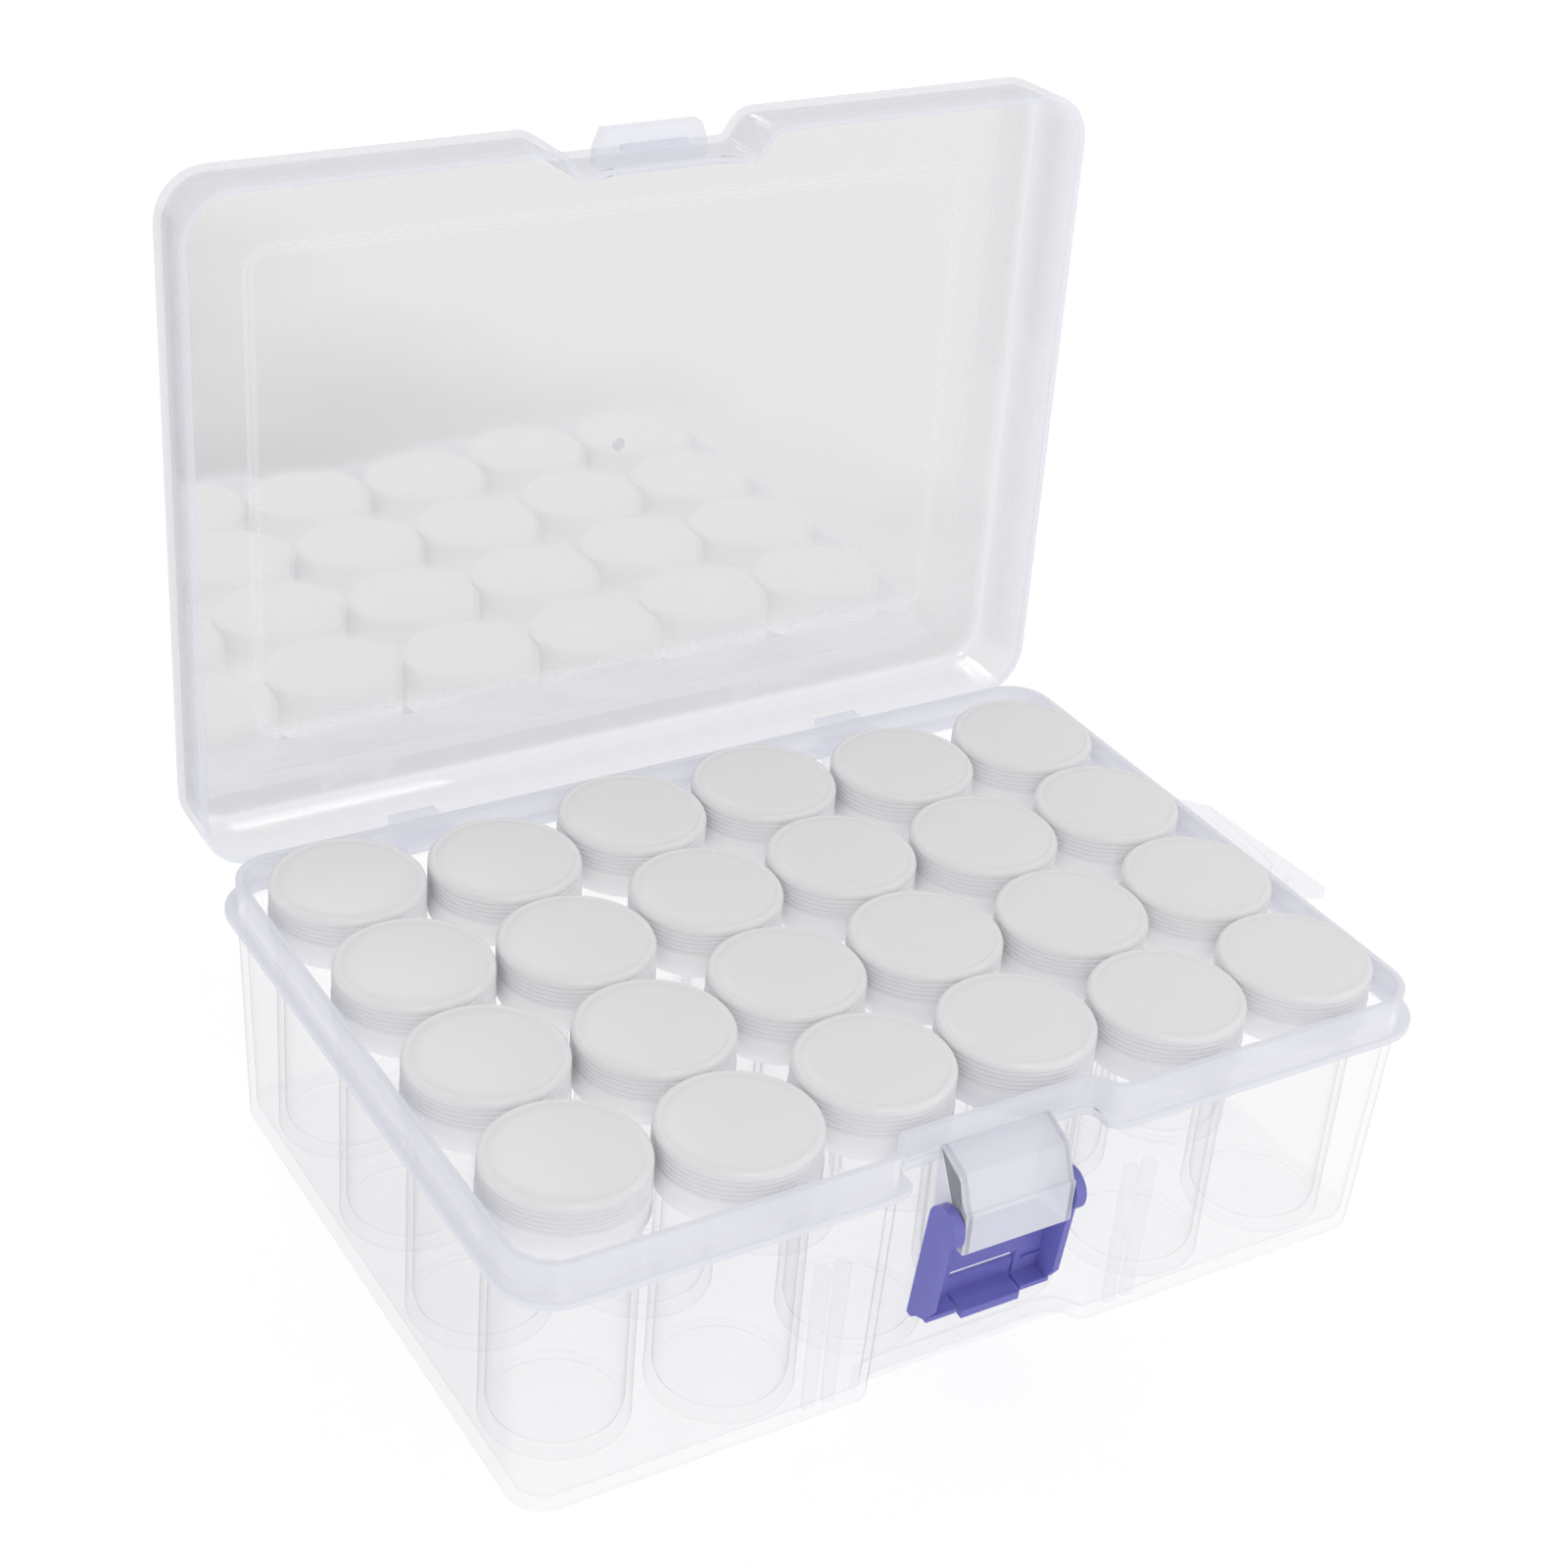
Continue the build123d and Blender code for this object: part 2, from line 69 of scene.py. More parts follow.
@dataclass(frozen=True)
class ClearPlastic:
    """Thin clear plastic: see-through face on, denser at grazing angles and at thick rims.

    Attributes:
        name: Material name.
        tint: Colour of the plastic where it is dense, linear RGB.
        face_density: Share of light the wall stops when seen face on.
        edge_density: The same at a grazing angle.
        rim_density: The same where the mesh's density channel is 1.
        falloff: How quickly density grows towards grazing angles.
        mirror: Share of light that a face-on surface mirrors.
        edge_mirror: The same at a grazing angle.
        rim_dull: How much less is mirrored where the mesh's density channel is 1, 1 for nothing.
        roughness: Roughness of the mirrored light.
        ripple: Strength of the moulded surface's fine waviness.
        ripple_scale: Waves per metre of that waviness.
    """

    name: str
    tint: tuple[float, float, float]
    face_density: float
    edge_density: float
    rim_density: float
    falloff: float
    mirror: float
    edge_mirror: float
    rim_dull: float
    roughness: float
    ripple: float
    ripple_scale: float

    def build(self) -> bpy.types.Material:
        """Make the node material.

        Returns:
            A material that mixes see-through, cloudy body and mirror by the facing angle.
        """
        tree = NodeTree(self.name)
        facing = tree.node("ShaderNodeLayerWeight", Blend=0.5).outputs["Facing"]
        grazing = tree.math("POWER", facing, self.falloff)
        span = self.edge_density - self.face_density
        by_angle = tree.math("MULTIPLY_ADD", grazing, span, self.face_density)
        channel = tree.channel(Channel.DENSITY)
        by_rim = tree.math("MULTIPLY", channel, self.rim_density)
        density = tree.math("MAXIMUM", by_angle, by_rim)
        normal = tree.ripple(self.ripple, self.ripple_scale)
        clear = tree.node("ShaderNodeBsdfTransparent")
        body = tree.node("ShaderNodeBsdfPrincipled", Roughness=0.4)
        body.inputs["Base Color"].default_value = (*self.tint, 1.0)
        body.inputs["Specular IOR Level"].default_value = 0.0
        tree.link(normal, body.inputs["Normal"])
        cloudy = tree.mix(density, clear.outputs[0], body.outputs[0])
        glance = tree.math("POWER", facing, 5.0)
        share = tree.math("MULTIPLY_ADD", glance, self.edge_mirror - self.mirror, self.mirror)
        open_face = tree.math("MULTIPLY_ADD", channel, -self.rim_dull, 1.0)
        share = tree.math("MULTIPLY", share, tree.math("MAXIMUM", open_face, 0.0))
        shine = tree.node("ShaderNodeBsdfGlossy", Roughness=self.roughness)
        tree.link(normal, shine.inputs["Normal"])
        tree.finish(tree.mix(share, cloudy, shine.outputs[0]))
        return tree.material


@dataclass(frozen=True)
class SolidPlastic:
    """Opaque or milky moulded plastic.

    Attributes:
        name: Material name.
        base: Main colour, linear RGB.
        shade: Colour that soft clouds of pigment lean to, linear RGB.
        cloud_scale: Clouds per metre.
        roughness: Surface roughness.
        ripple: Strength of the fine waviness.
        ripple_scale: Waves per metre of that waviness.
        glow: Share of light that passes through and scatters.
        painted_glow: Lighter colour where the mesh's channel is 1, painted light shining through a thin band,
            linear RGB, or None.
    """

    name: str
    base: tuple[float, float, float]
    shade: tuple[float, float, float]
    cloud_scale: float
    roughness: float
    ripple: float
    ripple_scale: float
    glow: float
    painted_glow: tuple[float, float, float] | None = None

    def build(self) -> bpy.types.Material:
        """Make the node material.

        Returns:
            A principled material whose colour drifts between base and shade.
        """
        tree = NodeTree(self.name)
        colour = tree.blend(tree.noise(self.cloud_scale, 3.0), self.base, self.shade)
        # Painted light: where the channel is 1 the colour turns lighter, as light shining through thin
        # plastic.
        if self.painted_glow:
            colour = tree.blend(tree.channel(Channel.DENSITY), colour, self.painted_glow)
        body = tree.node("ShaderNodeBsdfPrincipled", Roughness=self.roughness)
        body.inputs["Subsurface Weight"].default_value = self.glow
        body.inputs["Subsurface Radius"].default_value = (1.0, 1.0, 1.0)
        body.inputs["Subsurface Scale"].default_value = 0.001
        tree.link(colour, body.inputs["Base Color"])
        tree.link(tree.ripple(self.ripple, self.ripple_scale), body.inputs["Normal"])
        tree.finish(body.outputs[0])
        return tree.material


class NodeTree:
    """A material's node tree, with short calls for the nodes used here."""

    def __init__(self, name: str) -> None:
        """Start an empty tree.

        Args:
            name: Material name.
        """
        self.material = bpy.data.materials.new(name)
        self.material.use_nodes = True
        self.tree = self.material.node_tree
        self.tree.nodes.clear()

    def node(self, kind: str, **values: float) -> bpy.types.Node:
        """Add a node.

        Args:
            kind: Node type.
            values: Socket values by socket name.

        Returns:
            The new node.
        """
        made = self.tree.nodes.new(kind)
        for socket, value in values.items():
            made.inputs[socket].default_value = value
        return made

    def link(self, source: bpy.types.NodeSocket, target: bpy.types.NodeSocket) -> None:
        """Join two sockets."""
        self.tree.links.new(source, target)

    def math(self, operation: str, value: bpy.types.NodeSocket, *others) -> bpy.types.NodeSocket:
        """Add a math node.

        Args:
            operation: Math operation.
            value: First input.
            others: Further inputs, numbers or sockets.

        Returns:
            The node's output socket.
        """
        made = self.tree.nodes.new("ShaderNodeMath")
        made.operation = operation
        self.link(value, made.inputs[0])
        for index, other in enumerate(others, start=1):
            if isinstance(other, (int, float)):
                made.inputs[index].default_value = other
            else:
                self.link(other, made.inputs[index])
        return made.outputs[0]

    def mix(self, share, first, second) -> bpy.types.NodeSocket:
        """Mix two shaders by a share and return the result's socket."""
        made = self.tree.nodes.new("ShaderNodeMixShader")
        self.link(share, made.inputs[0])
        self.link(first, made.inputs[1])
        self.link(second, made.inputs[2])
        return made.outputs[0]

    def blend(self, share: bpy.types.NodeSocket, first, second: tuple) -> bpy.types.NodeSocket:
        """Blend a first colour, given as RGB or a socket, into a second RGB by a share."""
        made = self.tree.nodes.new("ShaderNodeMix")
        made.data_type = "RGBA"
        if isinstance(first, tuple):
            made.inputs["A"].default_value = (*first, 1.0)
        else:
            self.link(first, made.inputs["A"])
        made.inputs["B"].default_value = (*second, 1.0)
        self.link(share, made.inputs["Factor"])
        return made.outputs["Result"]

    def channel(self, name: Channel) -> bpy.types.NodeSocket:
        """One of the mesh's own per-vertex values, as a socket."""
        made = self.node("ShaderNodeAttribute")
        made.attribute_name = name.value
        return made.outputs["Fac"]

    def noise(self, scale: float, detail: float) -> bpy.types.NodeSocket:
        """Noise on object coordinates, as a socket from 0 to 1."""
        place = self.node("ShaderNodeTexCoord")
        made = self.node("ShaderNodeTexNoise", Scale=scale, Detail=detail)
        self.link(place.outputs["Object"], made.inputs["Vector"])
        return made.outputs["Fac"]

    def ripple(self, strength: float, scale: float) -> bpy.types.NodeSocket:
        """Fine waviness of a moulded surface, as a normal socket."""
        bump = self.node("ShaderNodeBump", Strength=strength, Distance=0.0002)
        self.link(self.noise(scale, 2.0), bump.inputs["Height"])
        return bump.outputs["Normal"]

    def finish(self, shader: bpy.types.NodeSocket) -> None:
        """Send a shader to the material's output."""
        output = self.tree.nodes.new("ShaderNodeOutputMaterial")
        self.link(shader, output.inputs["Surface"])


TRAY_FINISH = ClearPlastic(
    name="clear_tray",
    tint=(0.925, 0.935, 1.0),
    face_density=0.012,
    edge_density=0.2,
    rim_density=0.7,
    falloff=6.0,
    mirror=0.01,
    edge_mirror=0.2,
    rim_dull=0.5,
    roughness=0.06,
    ripple=0.25,
    ripple_scale=60.0,
)
LID_FINISH = ClearPlastic(
    name="clear_lid",
    tint=(0.90, 0.915, 1.0),
    face_density=0.02,
    edge_density=0.2,
    rim_density=0.5,
    falloff=5.0,
    mirror=0.28,
    edge_mirror=0.3,
    rim_dull=1.6,
    roughness=0.035,
    ripple=0.04,
    ripple_scale=45.0,
)
JAR_FINISH = ClearPlastic(
    name="clear_jar",
    tint=(0.92, 0.925, 0.95),
    face_density=0.002,
    edge_density=0.1,
    rim_density=0.07,
    falloff=7.0,
    mirror=0.006,
    edge_mirror=0.2,
    rim_dull=0.0,
    roughness=0.05,
    ripple=0.15,
    ripple_scale=90.0,
)
CAP_FINISH = SolidPlastic(
    name="milky_cap",
    base=(0.93, 0.93, 0.95),
    shade=(0.91, 0.91, 0.935),
    cloud_scale=90.0,
    roughness=0.24,
    ripple=0.05,
    ripple_scale=300.0,
    glow=0.25,
    # Painted light: the plain band is lighter, as light shining through its thin wall.
    painted_glow=(0.99, 0.99, 1.0),
)
LATCH_FINISH = SolidPlastic(
    name="blue_latch",
    base=(0.225, 0.22, 0.64),
    shade=(0.195, 0.19, 0.58),
    cloud_scale=220.0,
    roughness=0.2,
    ripple=0.15,
    ripple_scale=700.0,
    glow=0.1,
)


# ---- shapes --------------------------------------------------------------------------


def rounded_course(corners: np.ndarray, radii: np.ndarray, steps: int) -> tuple[np.ndarray, np.ndarray]:
    """A closed outline of straight runs joined by arcs, with its outward normals.

    Each corner's arc has its centre on the corner's bisector, at its radius over the cosine
    of half the turn, and its normal turns evenly from one run's normal to the next one's.

    Args:
        corners: Corner points, anticlockwise, shape (K, 2).
        radii: Arc radius at each corner, shape (K,).
        steps: Steps in each arc.

    Returns:
        Points and unit normals, both of shape (K * (steps + 1), 2).
    """
    run_in = corners - np.roll(corners, 1, axis=0)
    run_out = np.roll(run_in, -1, axis=0)
    run_in = run_in / np.linalg.norm(run_in, axis=1, keepdims=True)
    run_out = run_out / np.linalg.norm(run_out, axis=1, keepdims=True)
    cross = run_in[:, 0] * run_out[:, 1] - run_in[:, 1] * run_out[:, 0]
    turn = np.arctan2(cross, (run_in * run_out).sum(axis=1))
    start = np.arctan2(-run_in[:, 0], run_in[:, 1])
    side = np.sign(turn)
    inward = np.stack([-run_in[:, 1], run_in[:, 0]], axis=1)
    tangent = (radii * np.tan(np.abs(turn) / 2))[:, None]
    centre = corners - run_in * tangent + inward * (radii * side)[:, None]
    angle = start[:, None] + turn[:, None] * np.linspace(0, 1, steps + 1)[None, :]
    normal = np.stack([np.cos(angle), np.sin(angle)], axis=2)
    points = centre[:, None, :] + normal * (radii * side)[:, None, None]
    return points.reshape(-1, 2), normal.reshape(-1, 2)


def refine(points: np.ndarray, extra: np.ndarray, spacing: float) -> tuple[np.ndarray, np.ndarray]:
    """Divide a closed outline's long straight runs evenly.

    Args:
        points: Outline points, shape (N, 2).
        extra: Values that go with the points and are carried along, shape (N, M).
        spacing: Longest run left undivided.

    Returns:
        The divided points and their values.
    """
    both = np.hstack([points, extra])
    after = np.roll(both, -1, axis=0)
    length = np.linalg.norm(after[:, :2] - both[:, :2], axis=1)
    counts = np.maximum(1, np.ceil(length / spacing).astype(int))
    index = np.repeat(np.arange(len(both)), counts)
    first = np.repeat(np.cumsum(counts) - counts, counts)
    share = ((np.arange(counts.sum()) - first) / np.repeat(counts, counts))[:, None]
    divided = both[index] * (1 - share) + after[index] * share
    return divided[:, :2], divided[:, 2:]


def arc(centre: tuple[float, float], radius: float, start: float, end: float, steps: int) -> np.ndarray:
    """Points of a circular arc from one angle to another, in degrees, both ends included."""
    angle = np.radians(np.linspace(start, end, steps + 1))
    return np.stack([centre[0] + radius * np.cos(angle), centre[1] + radius * np.sin(angle)], axis=1)


class Piece:
    """A mesh under construction: points, faces and per-vertex values."""

    def __init__(self, name: str) -> None:
        """Start an empty piece called name."""
        self.name = name
        self.points: list[np.ndarray] = []
        self.density: list[np.ndarray] = []
        self.faces: list[list[int]] = []
        self.count = 0

    def grid(self, points: np.ndarray, density=0.0, wrap_rows=False) -> np.ndarray:
        """Add a grid of quads whose last column joins the first.

        Args:
            points: Grid points, shape (rows, columns, 3).
            density: Density channel, a number or an array that spreads over the grid.
            wrap_rows: Whether the last row joins the first.

        Returns:
            The vertex indices, shape (rows, columns).
        """
        rows, columns = points.shape[:2]
        index = self.count + np.arange(rows * columns).reshape(rows, columns)
        here = index if wrap_rows else index[:-1]
        above = np.roll(index, -1, axis=0) if wrap_rows else index[1:]
        quads = np.stack([here, np.roll(here, -1, axis=1), np.roll(above, -1, axis=1), above], axis=2)
        self.faces += quads.reshape(-1, 4).tolist()
        self.points.append(points.reshape(-1, 3))
        self.density.append(np.broadcast_to(density, (rows, columns)).reshape(-1))
        self.count += rows * columns
        return index

    def solid(self, points: np.ndarray, density=0.0) -> None:
        """Add a grid of quads, and close its first and last rows with one flat face each."""
        index = self.grid(points, density)
        self.faces += [index[0].tolist(), index[-1].tolist()]

    def write(self, finish: bpy.types.Material, body: str, smooth: float = 35.0) -> bpy.types.Object:
        """Make the mesh object, with faces outward, and let it ride on a body.

        Args:
            finish: The piece's material.
            body: The body it moves with.
            smooth: Edges sharper than this many degrees stay crisp.

        Returns:
            The new object.
        """
        mesh = bpy.data.meshes.new(self.name)
        mesh.from_pydata((np.concatenate(self.points) * MM).tolist(), [], self.faces)
        channel = mesh.attributes.new(Channel.DENSITY.value, "FLOAT", "POINT")
        channel.data.foreach_set("value", np.concatenate(self.density).astype(np.float32))
        return place(mesh, finish, body, smooth)


def place(mesh: bpy.types.Mesh, finish: bpy.types.Material, body: str, smooth: float) -> bpy.types.Object:
    """Turn a mesh's faces outward, smooth it and put it in the scene on a body.

    Args:
        mesh: The finished mesh, in metres.
        finish: Its material.
        body: The body it moves with.
        smooth: Edges sharper than this many degrees stay crisp.

    Returns:
        The new object.
    """
    work = bmesh.new()
    work.from_mesh(mesh)
    bmesh.ops.recalc_face_normals(work, faces=work.faces)
    work.to_mesh(mesh)
    work.free()
    mesh.polygons.foreach_set("use_smooth", np.ones(len(mesh.polygons), dtype=bool))
    mesh.set_sharp_from_angle(angle=math.radians(smooth))
    mesh.materials.append(finish)
    made = bpy.data.objects.new(mesh.name, mesh)
    bpy.context.scene.collection.objects.link(made)
    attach(made, body)
    log.info("%s: %d faces on %s", mesh.name, len(mesh.polygons), body)
    return made


@dataclass(frozen=True)
class Axes:
    """A local frame: an origin, and the directions of the profile's x and y and the run.

    Attributes:
        origin: Where the profile's origin lies.
        across: Direction of the profile's x.
        up: Direction of the profile's y.
        along: Direction that the profile is carried in.
    """

    origin: tuple[float, float, float]
    across: tuple[float, float, float]
    up: tuple[float, float, float]
    along: tuple[float, float, float]

    def place(self, profile: np.ndarray, distance: np.ndarray) -> np.ndarray:
        """Put a profile at distances along the run, as an array (rows, columns, 3)."""
        flat = profile[..., :1] * np.array(self.across) + profile[..., 1:] * np.array(self.up)
        ahead = np.asarray(distance)[:, None, None] * np.array(self.along)
        return np.array(self.origin) + flat + ahead


def sideways(start: float) -> Axes:
    """Frame of a profile in Y and Z that runs along X from start."""
    return Axes((start, 0, 0), (0, 1, 0), (0, 0, 1), (1, 0, 0))


def upwards(start: float) -> Axes:
    """Frame of a profile in X and Y that runs up from the height start."""
    return Axes((0, 0, start), (1, 0, 0), (0, 1, 0), (0, 0, 1))


def inset(profile: np.ndarray, amount: float) -> np.ndarray:
    """Move a closed anticlockwise profile inwards by amount, along each point's bisector."""
    before = profile - np.roll(profile, 1, axis=0)
    after = np.roll(before, -1, axis=0)
    before = before / np.linalg.norm(before, axis=1, keepdims=True)
    after = after / np.linalg.norm(after, axis=1, keepdims=True)
    normal = np.stack([-(before + after)[:, 1], (before + after)[:, 0]], axis=1)
    normal = normal / np.linalg.norm(normal, axis=1, keepdims=True)
    lean = np.maximum(0.3, (normal * np.stack([-before[:, 1], before[:, 0]], axis=1)).sum(axis=1))
    return profile + normal * (amount / lean)[:, None]


def prism(piece: Piece, axes: Axes, profile: np.ndarray, length: float, edge: float, density: float) -> None:
    """Add a bar of constant profile whose end edges are rounded in three steps.

    The profile is drawn in by edge * (1 - sin a) where it has gone edge * (1 - cos a) along
    the bar, for a quarter turn of a at each end.

    Args:
        piece: Piece that gets the bar.
        axes: Where the profile lies and which way it runs.
        profile: Closed anticlockwise profile, shape (N, 2).
        length: Length of the bar.
        edge: Rounding radius at the ends.
        density: Density channel of the bar.
    """
    turn = np.linspace(0, np.pi / 2, 4)
    ahead = edge * (1 - np.cos(turn))
    drawn_in = edge * (1 - np.sin(turn))
    distance = np.concatenate([ahead, length - ahead[::-1]])
    amount = np.concatenate([drawn_in, drawn_in[::-1]])
    rings = np.stack([inset(profile, value) for value in amount])
    piece.solid(axes.place(rings, distance), density)


def box_profile(low: tuple[float, float], high: tuple[float, float], radius: float) -> np.ndarray:
    """A rectangle with rounded corners, as a closed anticlockwise profile."""
    corners = np.array([low, (high[0], low[1]), high, (low[0], high[1])], dtype=float)
    return rounded_course(corners, np.full(4, radius), 3)[0]


# ---- the box's plan ------------------------------------------------------------------


@dataclass(frozen=True)
class Plan:
    """The lip's plan outline, which tray and lid share.

    Attributes:
        length: Along X.
        depth: Along Y.
        corner: Corner radius.
        recess_half: Half the recess's width at its back.
        recess_ramp: How far each side of the recess slopes.
        recess_depth: Depth of the recess.
        front_round: Radius where the recess meets the front.
        back_round: Radius at the back of the recess.
        spacing: Longest run between points.
    """

    length: float = 168.6
    depth: float = 119.0
    corner: float = 8.0
    recess_half: float = 17.6
    recess_ramp: float = 3.0
    recess_depth: float = 4.7
    front_round: float = 4.0
    back_round: float = 2.5
    spacing: float = 3.0

    def corners(self, flat: bool, grow: float = 0.0) -> np.ndarray:
        """Corner points, anticlockwise from the back left.

        Args:
            flat: Draw the recess's corners on the straight front line.
            grow: How far the plain rectangle is grown, used with flat.

        Returns:
            The corner points, shape (8, 2).
        """
        right, back = self.length / 2 + grow, self.depth / 2 + grow
        recess = -back if flat else -back + self.recess_depth
        ramp = self.recess_half + self.recess_ramp
        return np.array([
            (-right, back), (-right, -back), (-ramp, -back), (-self.recess_half, recess),
            (self.recess_half, recess), (ramp, -back), (right, -back), (right, back),
        ])

    def course(self) -> tuple[np.ndarray, np.ndarray]:
        """Points and outward normals of the outline, so that points + grow * normals grows it."""
        radii = np.array([self.corner, self.corner, self.front_round, self.back_round,
                          self.back_round, self.front_round, self.corner, self.corner])
        points, normals = rounded_course(self.corners(flat=False), radii, 10)
        return refine(points, normals, self.spacing)

    def matched(self, grow: float, radius: float) -> np.ndarray:
        """A rectangle without the recess, with one point for each point of the course.

        A point on the front run keeps its share of the way across, so that strips between
        the two outlines don't cross.

        Args:
            grow: How far the rectangle is grown, negative to shrink it.
            radius: Its corner radius.

        Returns:
            The points, shape (N, 2).
        """
        right, back = self.length / 2 + grow, self.depth / 2 + grow
        points, normals = self.course()
        inner_x = self.length / 2 - self.corner
        inner_y = self.depth / 2 - self.corner
        straight_x, straight_y = right - radius, back - radius
        at_corner = (np.abs(points[:, 0]) > inner_x) & (np.abs(points[:, 1]) > inner_y)
        scaled = points * (np.array([straight_x, straight_y]) / np.array([inner_x, inner_y]))
        middle_x = np.clip(scaled[:, 0], -straight_x, straight_x)
        middle_y = np.clip(scaled[:, 1], -straight_y, straight_y)
        sign_x, sign_y = np.sign(points[:, 0]), np.sign(points[:, 1])
        on_side = (np.abs(points[:, 0]) > inner_x) & ~at_corner
        x = np.where(at_corner, sign_x * straight_x + radius * normals[:, 0],
                     np.where(on_side, sign_x * right, middle_x))
        y = np.where(at_corner, sign_y * straight_y + radius * normals[:, 1],
                     np.where(on_side, middle_y, sign_y * back))
        return np.stack([x, y], axis=1)


PLAN = Plan()


def carried(plan: Plan, grow: np.ndarray, height: np.ndarray) -> np.ndarray:
    """Carry rows of a profile round the plan: each row is points + grow * normals, at height.

    Args:
        plan: The plan whose course is followed.
        grow: Growth of each row, shape (rows, 1) or (rows, columns).
        height: Height of each row, the same shapes.

    Returns:
        The grid of points, shape (rows, columns, 3).
    """
    points, normals = plan.course()
    flat = points[None] + grow[..., None] * normals[None]
    return np.dstack([flat, np.broadcast_to(height, flat.shape[:2])])


def rows(*stretches: tuple[np.ndarray, float]) -> tuple[np.ndarray, np.ndarray]:
    """Join stretches of a profile, each with its density.

    Args:
        stretches: Pairs of (grow, height) points and the density that they share.

    Returns:
        The profile's points, shape (N, 2), and their density, shape (N, 1).
    """
    points = np.vstack([np.atleast_2d(part) for part, _ in stretches])
    density = np.concatenate([np.full(len(np.atleast_2d(part)), value) for part, value in stretches])
    return points, density[:, None]


@dataclass
class Part:
    """A part of the box that stands for one node of the CAD model.

    Attributes:
        finish: Its material.
        body: The body it moves with.
        node: The CAD node it replaces.
        slot: Name of its material slot, not used.
    """

    finish: bpy.types.Material
    body: str
    node: str
    slot: str

    def dress(self, piece: Piece, smooth: float = 35.0) -> None:
        """Write a piece of the part, with edges sharper than smooth left crisp."""
        self.stand_in(piece.write(self.finish, self.body, smooth))

    def span(self) -> tuple[Vector, float, float, float]:
        """The CAD node's middle, radius, lowest and highest point, in millimetres."""
        low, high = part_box(self.node)
        return (low + high) / 2 / MM, (high.x - low.x) / 2 / MM, low.z / MM, high.z / MM

    def stand_in(self, made: bpy.types.Object) -> None:
        """Hide the part's CAD node."""
        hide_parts(self.node)


@dataclass(frozen=True)
class Hinge:
    """The lid's hinge: its line's place, and how far its clips stand from the middle."""

    y: float = 62.8
    z: float = 44.4
    spread: float = 45.0


HINGE = Hinge()


# ---- tray ----------------------------------------------------------------------------


